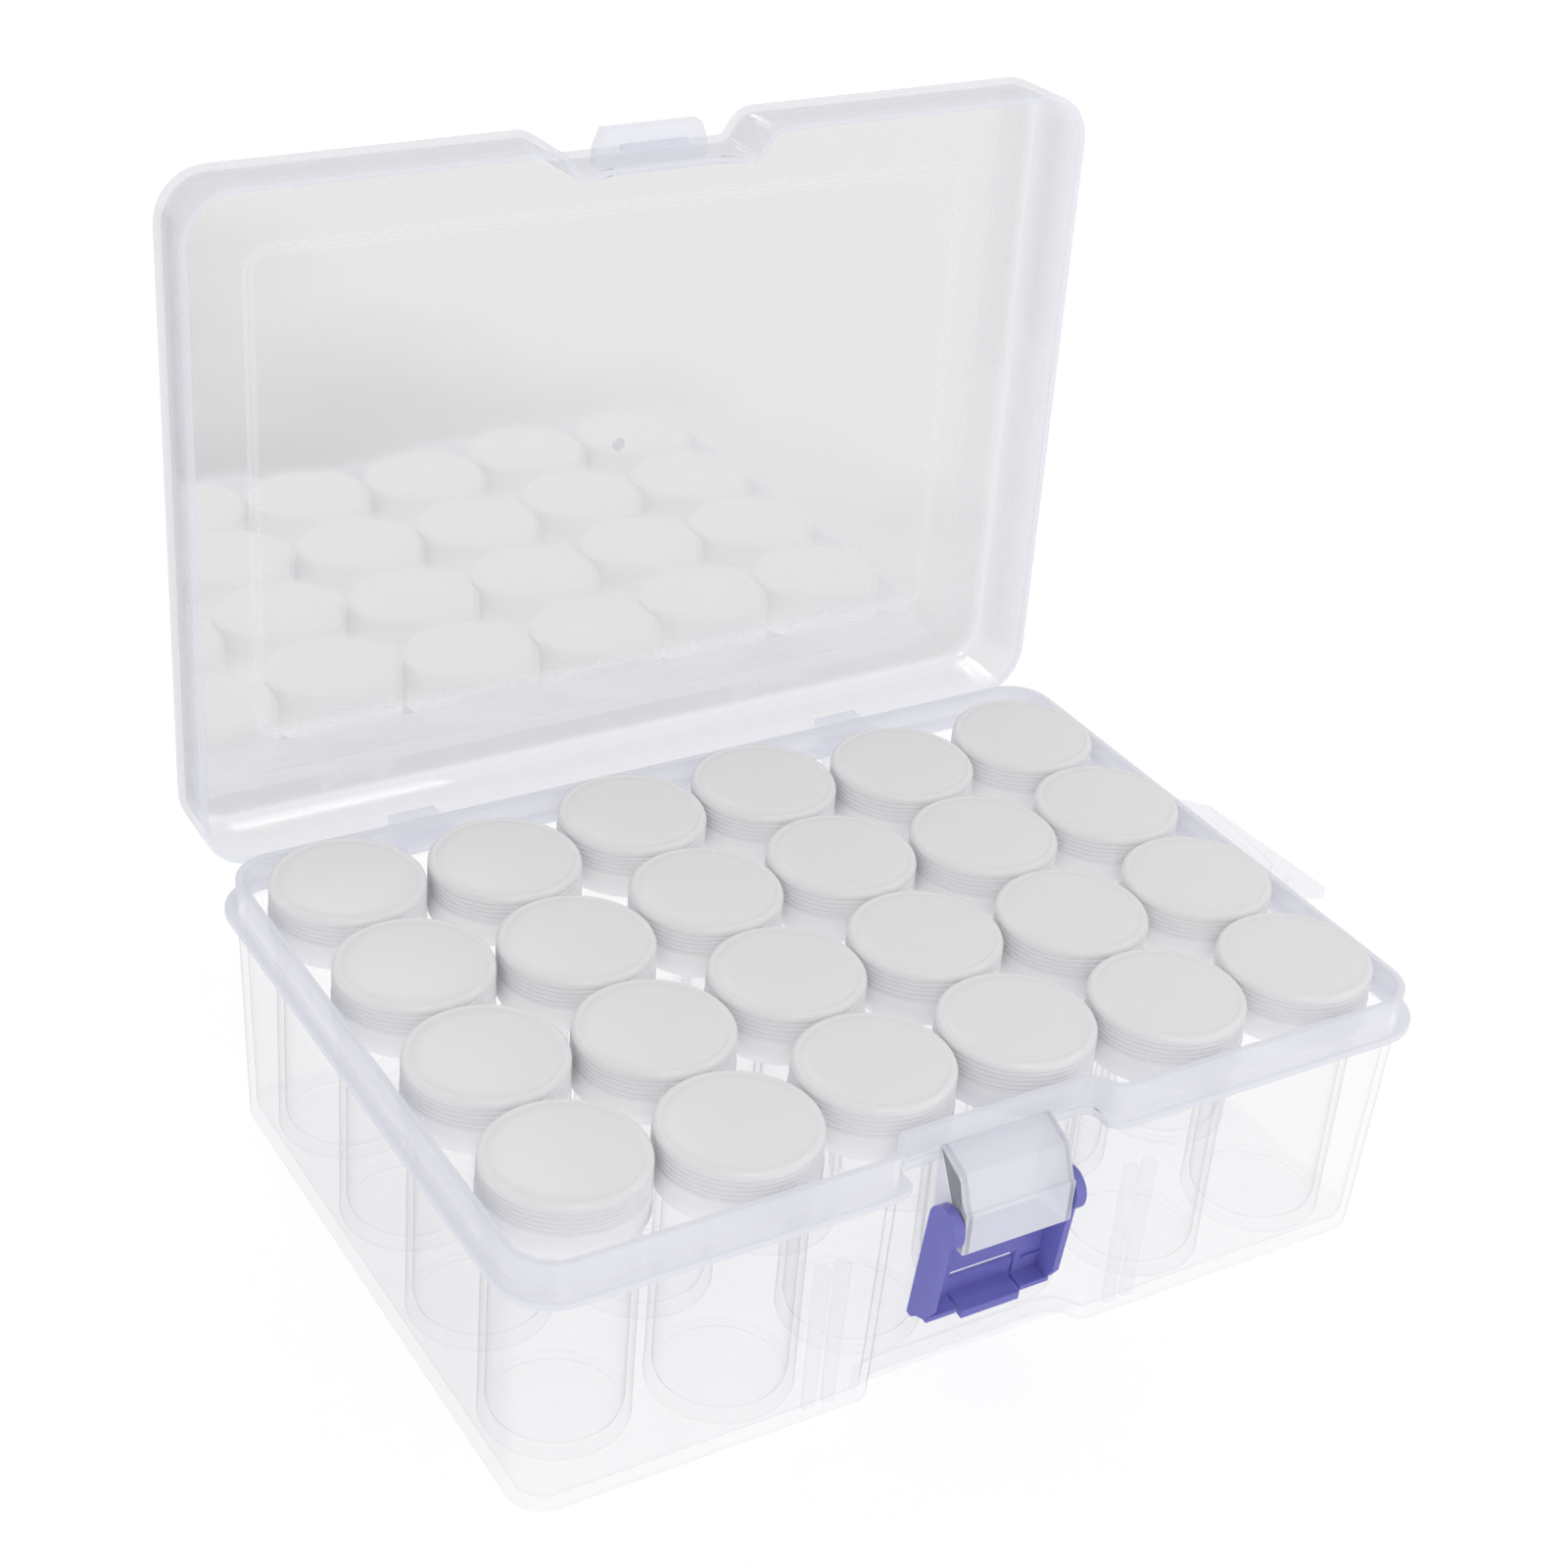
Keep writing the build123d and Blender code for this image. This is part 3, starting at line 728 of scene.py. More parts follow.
@dataclass
class Tray(Part):
    """Clear tray: leaning walls, a stepped lip, a flange, a latch bracket, hinge lugs and a loop."""

    body: str = "tray"
    node: str = "base_tray"
    slot: str = "clear_tray"
    wall: float = 1.3
    floor: float = 1.6
    draft: float = 1.6
    height: float = 50.6
    foot_round: float = 1.2
    inner_round: float = 1.6
    edge: float = 0.35
    flange_low: float = 43.4
    flange_high: float = 45.0
    flange_out: float = 1.9
    flange_end: float = 18.7
    notch_out: float = 0.8
    notch_half: float = 4.8
    bar_radius: float = 1.0
    lug_radius: float = 1.6
    lug_thickness: float = 1.8
    lug_foot: float = 38.4
    lug_edge: float = 0.25
    lug_density: float = 0.5
    bar_edge: float = 0.1
    root: float = 0.8
    pivot_y: float = -60.5
    pivot_z: float = 34.7
    bracket_half: float = 10.4
    bracket_wall: float = 1.3
    bracket_top: float = 46.5
    bracket_low: float = 30.6
    bracket_back: float = -54.8
    barrel: float = 3.2
    barrel_step: float = 0.6
    barrel_above: float = 3.9
    fold_above: float = 9.6
    fold_out: float = 0.1
    fold_round: float = 0.3
    fold_density: float = 0.9
    cheek_edge: float = 0.2
    cheek_density: float = 0.8
    pin_hole: float = 1.6
    slot_place: float = 29.75
    slot_width: float = 1.5
    rib_width: float = 2.2
    rib_depth: float = 1.0
    rib_sink: float = 0.1
    rib_top: float = 30.6
    rib_round: float = 0.15
    rib_edge: float = 0.2
    rib_density: float = 0.12
    loop_low: float = 41.8
    loop_high: float = 43.8
    loop_corners: tuple = ((83.5, -17.0), (91.8, -17.0), (98.4, -19.6), (96.5, 13.8), (91.8, 19.2),
                           (83.5, 19.2))
    slot_corners: tuple = ((87.9, -13.0), (94.3, -13.0), (93.35, -8.1), (94.25, -8.1), (93.3, 12.6),
                           (87.9, 12.6))
    loop_round: float = 1.2
    loop_density: float = 0.3
    slot_round: float = 0.35

    def build(self) -> None:
        """Build every part of the tray."""
        self.shell()
        self.bracket()
        self.slots()
        self.lugs()
        self.loop()

    def lean(self, height: float) -> float:
        """How far the wall's outside has grown from the lip's plan at a height."""
        return -self.draft * (1 - height / self.height)

    def flange_reach(self) -> np.ndarray:
        """Flange width at each point of the plan: full, none at the recess, cut at the clips."""
        points, _ = PLAN.course()
        x, y = np.abs(points[:, 0]), points[:, 1]
        open_front = np.clip((x - self.flange_end) / 1.2, 0, 1) * self.flange_out
        notched = np.where(np.abs(x - HINGE.spread) < self.notch_half, self.notch_out, self.flange_out)
        return np.where(y < 0, open_front, notched)

    def shell(self) -> None:
        """Tray shell as one closed surface: up the outside, over the lip and down the inside."""
        low, high, top, edge = self.flange_low, self.flange_high, self.height, self.edge
        inside = self.lean(self.floor) - self.wall
        foot = arc((self.lean(0) - self.foot_round, self.foot_round), self.foot_round, -90, 0, 5)
        hollow = arc((inside - self.inner_round, self.floor + self.inner_round), self.inner_round, 0, -90, 5)
        rim = arc((-edge, top - edge), edge, 0, 90, 3)
        rim_in = arc((edge - self.wall, top - edge), edge, 90, 180, 3)
        profile, density = rows(
            (foot, 0.12),
            ((self.lean(2.5), 2.5), 0.0),
            ((self.lean(low - 0.3), low - 0.3), 0.03),
            ((self.lean(low), low), 1.0),
            (arc((-edge, low + edge), edge, -90, 0, 3), 1.0),
            (arc((-edge, high - edge), edge, 0, 90, 3), 1.0),
            ((self.lean(high) + 0.1, high), 1.0),
            ((self.lean(high + 0.2), high + 0.2), 0.8),
            (rim, 0.9),
            (rim_in, 1.0),
            ((self.lean(high) - self.wall, high), 0.7),
            ((self.lean(low) - self.wall, low), 0.05),
            ((self.lean(4.0) - self.wall, 4.0), 0.0),
            (hollow, 0.08),
        )
        reach = np.zeros((len(profile), 1))
        first = len(foot) + 3
        reach[first:first + 8] = 1.0
        grow = profile[:, :1] + reach * self.flange_reach()[None]
        piece = Piece("tray_shell")
        piece.solid(carried(PLAN, grow, profile[:, 1:]), density)
        self.dress(piece)

    def bracket(self) -> None:
        """Latch bracket: a folded skin, and a side wall with a pin hole at each end."""
        front = self.pivot_y - self.barrel
        outside = np.array([
            (self.bracket_back, self.bracket_top),
            (self.pivot_y - self.fold_out, self.pivot_z + self.fold_above),
            (front + self.barrel_step, self.pivot_z + self.barrel_above),
            (front, self.pivot_z + self.barrel_above),
            (front, self.bracket_low),
        ])
        skin = outside + np.array([(0, -1), (0, -1), (0.9, -1), (1, -1), (1, 0)]) * self.bracket_wall
        profile = np.vstack([outside, skin[::-1]])
        piece = Piece("latch_bracket")
        skin_axes = sideways(-self.bracket_half)
        fold = rounded(profile, self.fold_round)
        prism(piece, skin_axes, fold, 2 * self.bracket_half, self.edge, self.fold_density)
        corners = np.vstack([outside, [(self.bracket_back, self.bracket_low)]])
        outline = rounded(corners, self.fold_round)
        edge_line, _ = refine(outline, np.zeros((len(outline), 1)), 1.5)
        hub = np.array([self.pivot_y, self.pivot_z])
        away = edge_line - hub
        hole = hub + away / np.linalg.norm(away, axis=1, keepdims=True) * self.pin_hole
        for start in (-self.bracket_half, self.bracket_half - self.bracket_wall):
            cheek = sideways(start)
            plate(piece, cheek, edge_line, hole, self.bracket_wall, self.cheek_edge, self.cheek_density)
        self.dress(piece)

    def slots(self) -> None:
        """Divider slots inside the front wall, each between two ribs that rise from the floor."""
        foot = self.lean(self.floor) - self.wall
        top = self.lean(self.rib_top) - self.wall
        front = -PLAN.depth / 2
        profile = np.array([
            (front - foot - self.rib_sink, self.floor), (front - foot + self.rib_depth, self.floor),
            (front - foot + self.rib_depth, self.rib_top), (front - top - self.rib_sink, self.rib_top),
        ])
        piece = Piece("divider_slots")
        for middle in (-self.slot_place, self.slot_place):
            for side in (-1, 1):
                start = middle + side * (self.slot_width + self.rib_width) / 2 - self.rib_width / 2
                rib = rounded(profile, self.rib_round)
                prism(piece, sideways(start), rib, self.rib_width, self.rib_edge, self.rib_density)
        self.dress(piece)

    def lugs(self) -> None:
        """Hinge lugs in two pairs behind the flange, and a bar between each pair."""
        back = PLAN.depth / 2 - self.root
        hub = (HINGE.y, HINGE.z)
        nose = arc(hub, self.lug_radius, 90, -60, 10)
        profile = np.vstack([[(back, self.flange_high)], [(HINGE.y, self.flange_high)], nose[4:],
                             [(back, self.lug_foot)]])
        ring = arc(hub, self.bar_radius, 0, 360 - 15, 23)
        half = self.notch_half + self.lug_thickness
        piece = Piece("hinge_lugs")
        for middle in (-HINGE.spread, HINGE.spread):
            for start in (middle - half, middle + half - self.lug_thickness):
                lug = sideways(start)
                prism(piece, lug, turned_left(profile), self.lug_thickness, self.lug_edge, self.lug_density)
            bar = sideways(middle - half + self.lug_thickness / 2)
            prism(piece, bar, ring, 2 * half - self.lug_thickness, self.bar_edge, self.lug_density)
        self.dress(piece)

    def loop(self) -> None:
        """Hang loop: a flat plate with a stepped slot."""
        outer = rounded_course(np.array(self.loop_corners), np.full(6, self.loop_round), 5)[0]
        inner = rounded_course(np.array(self.slot_corners), np.full(6, self.slot_round), 5)[0]
        piece = Piece("hang_loop")
        thick = self.loop_high - self.loop_low
        plate(piece, upwards(self.loop_low), outer, inner, thick, self.edge, self.loop_density)
        self.dress(piece)


def turned_left(profile: np.ndarray) -> np.ndarray:
    """The closed profile in anticlockwise order, judged by the sign of its area."""
    after = np.roll(profile, -1, axis=0)
    area = (profile[:, 0] * after[:, 1] - profile[:, 1] * after[:, 0]).sum()
    return profile if area > 0 else profile[::-1]


def rounded(corners: np.ndarray, radius: float) -> np.ndarray:
    """The closed profile, anticlockwise, with every corner rounded by radius."""
    return rounded_course(turned_left(corners), np.full(len(corners), radius), 3)[0]


def plate(
    piece: Piece, axes: Axes, outer: np.ndarray, inner: np.ndarray, thick: float, edge: float, density: float,
) -> None:
    """Add a flat plate with a hole, as one ring-shaped surface.

    The surface goes round the plate's section: up the outer wall, in over the top, down the
    hole's wall and back out underneath, with each long edge rounded by edge.

    Args:
        piece: Piece that gets the plate.
        axes: Where the plan lies and which way the thickness goes.
        outer: Outer outline, anticlockwise, shape (N, 2).
        inner: Outline of the hole with one point for each outer point.
        thick: Thickness.
        edge: Rounding radius of the edges.
        density: Density channel of the plate.
    """
    turn = np.linspace(0, np.pi / 2, 4)
    drawn_in = edge * (1 - np.cos(turn))
    ahead = edge * np.sin(turn)
    outwards = [inset(outer, amount) for amount in (*drawn_in[::-1], *drawn_in)]
    inwards = [inset(inner, -amount) for amount in (*drawn_in[::-1], *drawn_in)]
    climb = np.concatenate([edge - ahead[::-1], thick - edge + ahead])
    distance = np.concatenate([climb, climb[::-1]])
    piece.grid(axes.place(np.stack(outwards + inwards), distance), density, wrap_rows=True)


# ---- lid -----------------------------------------------------------------------------


@dataclass
class Lid(Part):
    """Clear lid, drawn on the closed box and swung open: shell, bead frame, tab and hinge clips."""

    body: str = "lid"
    node: str = "lid"
    slot: str = "clear_lid"
    open_angle: float = 90.8
    side_gap: float = 0.3
    wall: float = 1.2
    panel: float = 1.4
    rim: float = 45.2
    top: float = 59.7
    draft: float = 0.3
    top_round: float = 2.0
    inner_round: float = 0.9
    flat_edge: float = 0.4
    edge: float = 0.3
    cut_half: float = 11.0
    cut_height: float = 1.6
    bead_out: float = -14.1
    bead_width: float = 1.5
    bead_height: float = 0.55
    bead_round: float = 4.5
    bead_density: float = 0.75
    tab_back: float = -54.5
    tab_front: float = -61.05
    tab_half: float = 10.5
    tab_front_half: float = 9.2
    tab_low: float = 51.7
    tab_high: float = 54.6
    tab_round: float = 0.4
    tab_density: float = 0.75
    rib_half: float = 6.5
    rib_size: float = 1.0
    rib_inset: float = 3.0
    rib_sink: float = 0.2
    rib_round: float = 0.3
    rib_edge: float = 0.2
    rib_density: float = 0.9
    clip_half: float = 4.5
    clip_radius: float = 2.2
    clip_bore: float = 1.1
    clip_mouth: float = 1.7
    clip_edge: float = 0.15
    clip_density: float = 0.6
    web_height: float = 4.6
    web_out: float = 2.4
    gate_radius: float = 1.3
    gate_columns: int = 24
    gate_density: float = 0.55

    def build(self) -> None:
        """Build every part of the lid."""
        self.shell()
        self.tab()
        self.clips()

    def dress(self, piece: Piece, smooth: float = 35.0) -> None:
        """Swing a piece of the closed lid open and write it."""
        piece.points = [self.swung(points) for points in piece.points]
        super().dress(piece, smooth)

    def swung(self, points: np.ndarray) -> np.ndarray:
        """Turn points of the closed box about the hinge by the open angle.

        With y and z measured from the hinge, y goes to y * cos + z * sin, and z goes to
        z * cos - y * sin.

        Args:
            points: Points of the closed box, shape (N, 3).

        Returns:
            The same points on the open lid.
        """
        angle = math.radians(self.open_angle)
        y, z = points[:, 1] - HINGE.y, points[:, 2] - HINGE.z
        turned_y = HINGE.y + y * math.cos(angle) + z * math.sin(angle)
        turned_z = HINGE.z + z * math.cos(angle) - y * math.sin(angle)
        return np.stack([points[:, 0], turned_y, turned_z], axis=1)

    def lean(self, height: float) -> float:
        """How far the wall has come in from the rim at a height."""
        return -self.draft * (height - self.rim) / (self.top - self.rim)

    def shell(self) -> None:
        """Lid shell as one closed surface: inside panel, inside wall, rim, outside, bead, panel."""
        outer, inner, edge = self.side_gap + self.wall, self.side_gap, self.edge
        ceiling = self.top - self.panel
        soft, round_in = self.top_round, self.inner_round
        inside = inner + self.lean(ceiling)
        outside = outer + self.lean(self.top - soft)
        profile, density = rows(
            ((inside - round_in - self.flat_edge, ceiling), 0.0),
            (arc((inside - round_in, ceiling - round_in), round_in, 90, 0, 4), 0.45),
            ((inner + self.lean(54), 54), 0.25),
            ((inner, self.rim + 1.0), 0.6),
            (arc((inner + edge, self.rim + edge), edge, 180, 270, 3), 1.0),
            (arc((outer - edge, self.rim + edge), edge, -90, 0, 3), 1.0),
            ((outer, self.rim + 1.0), 0.6),
            ((outer + self.lean(54), 54), 0.25),
            (arc((outside - soft, self.top - soft), soft, 0, 90, 6), 0.45),
            ((outside - soft - self.flat_edge, self.top), 0.0),
        )
        points, _ = PLAN.course()
        over_bracket = (np.abs(points[:, 0]) < self.cut_half) & (points[:, 1] < 0)
        low = np.clip((self.rim + 1.2 - profile[:, 1:]) / 1.0, 0, 1)
        height = profile[:, 1:] + low * over_bracket[None] * self.cut_height
        walls = carried(PLAN, profile[:, :1], height)
        bead, bead_density = self.bead()
        piece = Piece("lid_shell")
        piece.solid(np.concatenate([walls, bead]), np.vstack([density, bead_density]))
        self.gate(piece)
        self.dress(piece)

    def bead(self) -> tuple[np.ndarray, np.ndarray]:
        """Rings of the bead frame: rectangles that shrink while the height follows a half wave.

        Returns:
            The rings, shape (R, columns, 3), and their density, shape (R, 1).
        """
        round_part = np.linspace(0, 1, 9)
        flat = self.flat_edge / self.bead_width
        share = np.concatenate([[-flat], round_part, [1 + flat]])
        lift = self.bead_height * np.sin(np.pi * np.clip(share, 0, 1)) ** 0.6
        rings = []
        for part, rise in zip(share, lift):
            inward = self.bead_width * part
            ring = PLAN.matched(self.bead_out - inward, self.bead_round - inward)
            rings.append(np.column_stack([ring, np.full(len(ring), self.top + rise)]))
        density = np.where((share < 0) | (share > 1), 0.0, self.bead_density * np.abs(np.cos(np.pi * share)))
        return np.stack(rings), density[:, None]

    def gate(self, piece: Piece) -> None:
        """Gate mark in the middle of the panel: a low disc with a dimple."""
        radius = np.array([1.0, 0.92, 0.7, 0.5, 0.3]) * self.gate_radius
        height = self.top - 0.01 + np.array([0.0, 0.14, 0.18, 0.1, 0.06])
        piece.solid(turned(radius, height, self.gate_columns), self.gate_density)

    def tab(self) -> None:
        """Tab that the latch holds, with a rib underneath."""
        middle = (self.tab_back + self.tab_front) / 2
        plan = np.array([
            (-self.tab_half, self.tab_back), (-self.tab_half, middle),
            (-self.tab_front_half, self.tab_front), (self.tab_front_half, self.tab_front),
            (self.tab_half, middle), (self.tab_half, self.tab_back),
        ])
        piece = Piece("lid_tab")
        thick = self.tab_high - self.tab_low
        outline = rounded(plan, self.tab_round)
        prism(piece, upwards(self.tab_low), outline, thick, self.edge, self.tab_density)
        line, half = self.tab_front + self.rib_inset, self.rib_size / 2
        rib = box_profile((-self.rib_half, line - half), (self.rib_half, line + half), self.rib_round)
        below, tall = upwards(self.tab_low - self.rib_size), self.rib_size + self.rib_sink
        prism(piece, below, rib, tall, self.rib_edge, self.rib_density)
        self.dress(piece)

    def clips(self) -> None:
        """Clips that snap over the hinge bars, each on a web that runs up the back wall."""
        wall = PLAN.depth / 2 + self.side_gap + self.wall / 2
        hub = (HINGE.y, HINGE.z)
        half = self.clip_mouth / 2
        lip_out = math.degrees(math.acos(half / self.clip_radius))
        lip_in = math.degrees(math.acos(half / self.clip_bore))
        profile = np.vstack([
            [(wall, self.rim), (wall, self.rim + self.web_height)],
            [(PLAN.depth / 2 + self.web_out, self.rim + self.web_height)],
            arc(hub, self.clip_radius, 0, -lip_out, 8),
            arc(hub, self.clip_bore, -lip_in, 180 + lip_in, 16),
            arc(hub, self.clip_radius, 180 + lip_out, 180, 8),
        ])
        piece = Piece("lid_clips")
        for middle in (-HINGE.spread, HINGE.spread):
            start = sideways(middle - self.clip_half)
            clip = turned_left(profile)
            prism(piece, start, clip, 2 * self.clip_half, self.clip_edge, self.clip_density)
        self.dress(piece)


# ---- latch ---------------------------------------------------------------------------


@dataclass
class Latch(Part):
    """Blue swing latch, with every moulded edge softened."""

    body: str = "latch"
    node: str = "latch"
    slot: str = "latch_blue"
    edge: float = 0.22
    segments: int = 3

    def build(self) -> None:
        """Copy the latch, join its faces into flats and bevel its edges."""
        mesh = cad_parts[self.node].data.copy()
        mesh.name = "swing_latch"
        mesh.materials.clear()
        work = bmesh.new()
        work.from_mesh(mesh)
        bmesh.ops.remove_doubles(work, verts=work.verts, dist=1e-6)
        bmesh.ops.dissolve_limit(work, angle_limit=math.radians(0.5), verts=work.verts, edges=work.edges)
        work.to_mesh(mesh)
        work.free()
        made = place(mesh, self.finish, self.body, 35.0)
        bevel = made.modifiers.new("soft_edges", "BEVEL")
        bevel.width = self.edge * MM
        bevel.segments = self.segments
        bevel.limit_method = "ANGLE"
        bevel.angle_limit = math.radians(35)
        bevel.harden_normals = True
        self.stand_in(made)


# ---- jars and caps -------------------------------------------------------------------


def turned(radius: np.ndarray, height: np.ndarray, columns: int, centre=(0.0, 0.0)) -> np.ndarray:
    """Surface of revolution: each (radius, height) goes round the centre at even angles.

    Args:
        radius: Radius of each row, shape (R,) or (R, columns).
        height: Height of each row, shape (R,).
        columns: Points round the axis.
        centre: Where the axis stands.

    Returns:
        The grid of points, shape (R, columns, 3).
    """
    angle = np.linspace(0, 2 * np.pi, columns, endpoint=False)
    spread = radius if radius.ndim == 2 else radius[:, None]
    x = centre[0] + spread * np.cos(angle)[None]
    y = centre[1] + spread * np.sin(angle)[None]
    return np.dstack([x, y, np.broadcast_to(height[:, None], x.shape)])


@dataclass
class Jar(Part):
    """Small clear screw jar with a stepped foot and a threaded neck.

    row_counts and row_density give the density of each stretch of its profile's rows: nub,
    foot, foot ring, body, shoulder, thread, mouth, neck and inside.
    """

    slot: str = "jar_clear"
    columns: int = 64
    wall: float = 1.2
    floor: float = 1.6
    shoulder_drop: float = 9.3
    neck_radius: float = 11.6
    bore: float = 10.4
    thread_rise: float = 0.2
    thread_pitch: float = 2.4
    row_counts: tuple = (3, 8, 6, 3, 4, 24, 4, 3, 5)
    row_density: tuple = (0.8, 0.6, 0.9, 0.05, 0.5, 0.3, 0.5, 0.2, 0.0)

    def build(self) -> None:
        """Turn the jar: foot, body, shoulder, threaded neck, mouth, inside wall and floor."""
        middle, radius, base, top = self.span()
        shoulder = top - self.shoulder_drop
        foot = np.array([
            (0.5, 0.2), (1.0, 0.25), (1.3, 0.6), (6.6, 0.6), (6.8, 0.45), (7.0, 0.6), (8.6, 0.6),
            (8.9, 0.5), (9.3, 0.15), (9.7, 0.15), (10.0, 0.5), (10.6, 0.5), (10.9, 0.4), (11.1, 0),
            (11.6, 0), (12.1, 0.25),
        ]) + (0, base)
        body = np.array([(0, 0.8), (0, 1.4), (-0.05, 2.0)]) + (radius, base)
        turn_in = np.array([(-0.05, -1.0), (-0.15, -0.3), (-0.45, 0)]) + (radius, shoulder)
        neck = np.array([(0, 0), (0, 0.5)]) + (self.neck_radius, shoulder)
        outside = np.vstack([foot, body, turn_in, neck])
        climb = np.linspace(shoulder + 0.9, top - 0.7, 24)
        mouth = np.array([
            (self.neck_radius, top - 0.3), (self.neck_radius - 0.3, top), (self.bore + 0.3, top),
            (self.bore, top - 0.3), (self.bore, shoulder - 0.6), (self.bore + 0.25, shoulder - 1.4),
            (radius - self.wall - 0.05, shoulder - 2.6),
        ])
        hollow = np.array([(0, 2.2), (-0.3, 1.0), (-1.0, 0.3), (-2.0, 0)])
        hollow = hollow + (radius - self.wall, base + self.floor)
        inside = np.vstack([mouth, hollow, [(8.0, base + self.floor)]])
        angle = np.linspace(0, 2 * np.pi, self.columns, endpoint=False)
        phase = (climb[:, None] - shoulder) / self.thread_pitch - angle[None] / (2 * np.pi)
        fade = np.clip(np.minimum(climb - shoulder - 0.9, top - 0.7 - climb), 0, 1)[:, None]
        thread = self.neck_radius + self.thread_rise * fade * np.clip(np.cos(2 * np.pi * phase) * 2, 0, 1)
        wide = np.ones((1, self.columns))
        spread = np.vstack([outside[:, :1] * wide, thread, inside[:, :1] * wide])
        height = np.concatenate([outside[:, 1], climb, inside[:, 1]])
        density = np.repeat(self.row_density, self.row_counts)
        piece = Piece(self.node + "_glass")
        piece.solid(turned(spread, height, self.columns, (middle.x, middle.y)), density[:, None])
        self.dress(piece)


@dataclass
class Cap(Part):
    """Milky screw cap: a faintly crowned top, a rim bead, fine grip rings and a plain band painted lighter,
    as light shining through it.
    """

    slot: str = "cap_frosted"
    columns: int = 72
    skirt_wall: float = 1.6
    top_thickness: float = 1.4
    crown: float = 0.35
    ring_count: int = 5
    ring_pitch: float = 0.85
    ring_depth: float = 0.22
    ring_start: float = 1.5

    def build(self) -> None:
        """Turn the cap: top, rim bead, grip rings, plain band, lower edge and inside."""
        middle, radius, bottom, top = self.span()
        share = np.linspace(0.15, 1, 7)
        crown_r = share * (radius - 1.9)
        crown_z = top - self.crown * share ** 2
        rim = np.array([
            (-1.75, -0.42), (-1.6, -0.45), (-1.4, -0.34), (-1.1, -0.28), (-0.8, -0.34), (-0.5, -0.55),
            (-0.25, -0.85), (-0.13, -1.2),
        ]) + (radius, top)
        line = np.linspace(0, self.ring_count, self.ring_count * 6 + 1)
        ring_z = top - self.ring_start - line * self.ring_pitch
        ring_r = radius - 0.12 - self.ring_depth * (0.5 - 0.5 * np.cos(2 * np.pi * line)) ** 3
        bore, ceiling = radius - self.skirt_wall, top - self.top_thickness
        skirt = np.array([
            (radius - 0.1, ring_z[-1] - 0.2), (radius - 0.02, ring_z[-1] - 0.5), (radius, bottom + 0.3),
            (radius - 0.1, bottom + 0.08), (radius - 0.3, bottom), (bore + 0.3, bottom), (bore, bottom + 0.3),
            (bore, ceiling - 0.5), (bore - 0.5, ceiling), (3.0, ceiling),
        ])
        spread = np.concatenate([crown_r, rim[:, 0], ring_r, skirt[:, 0]])
        height = np.concatenate([crown_z, rim[:, 1], ring_z, skirt[:, 1]])
        # The plain band under the rings gets the painted light: a lighter colour, as light shining through
        # it.
        painted_glow = np.zeros((len(spread), 1))
        band = len(crown_r) + len(rim) + len(ring_r)
        painted_glow[band:band + 7] = 1.0
        piece = Piece(self.node + "_moulded")
        piece.solid(turned(spread, height, self.columns, (middle.x, middle.y)), painted_glow)
        self.dress(piece, 60.0)


# ---- studio --------------------------------------------------------------------------


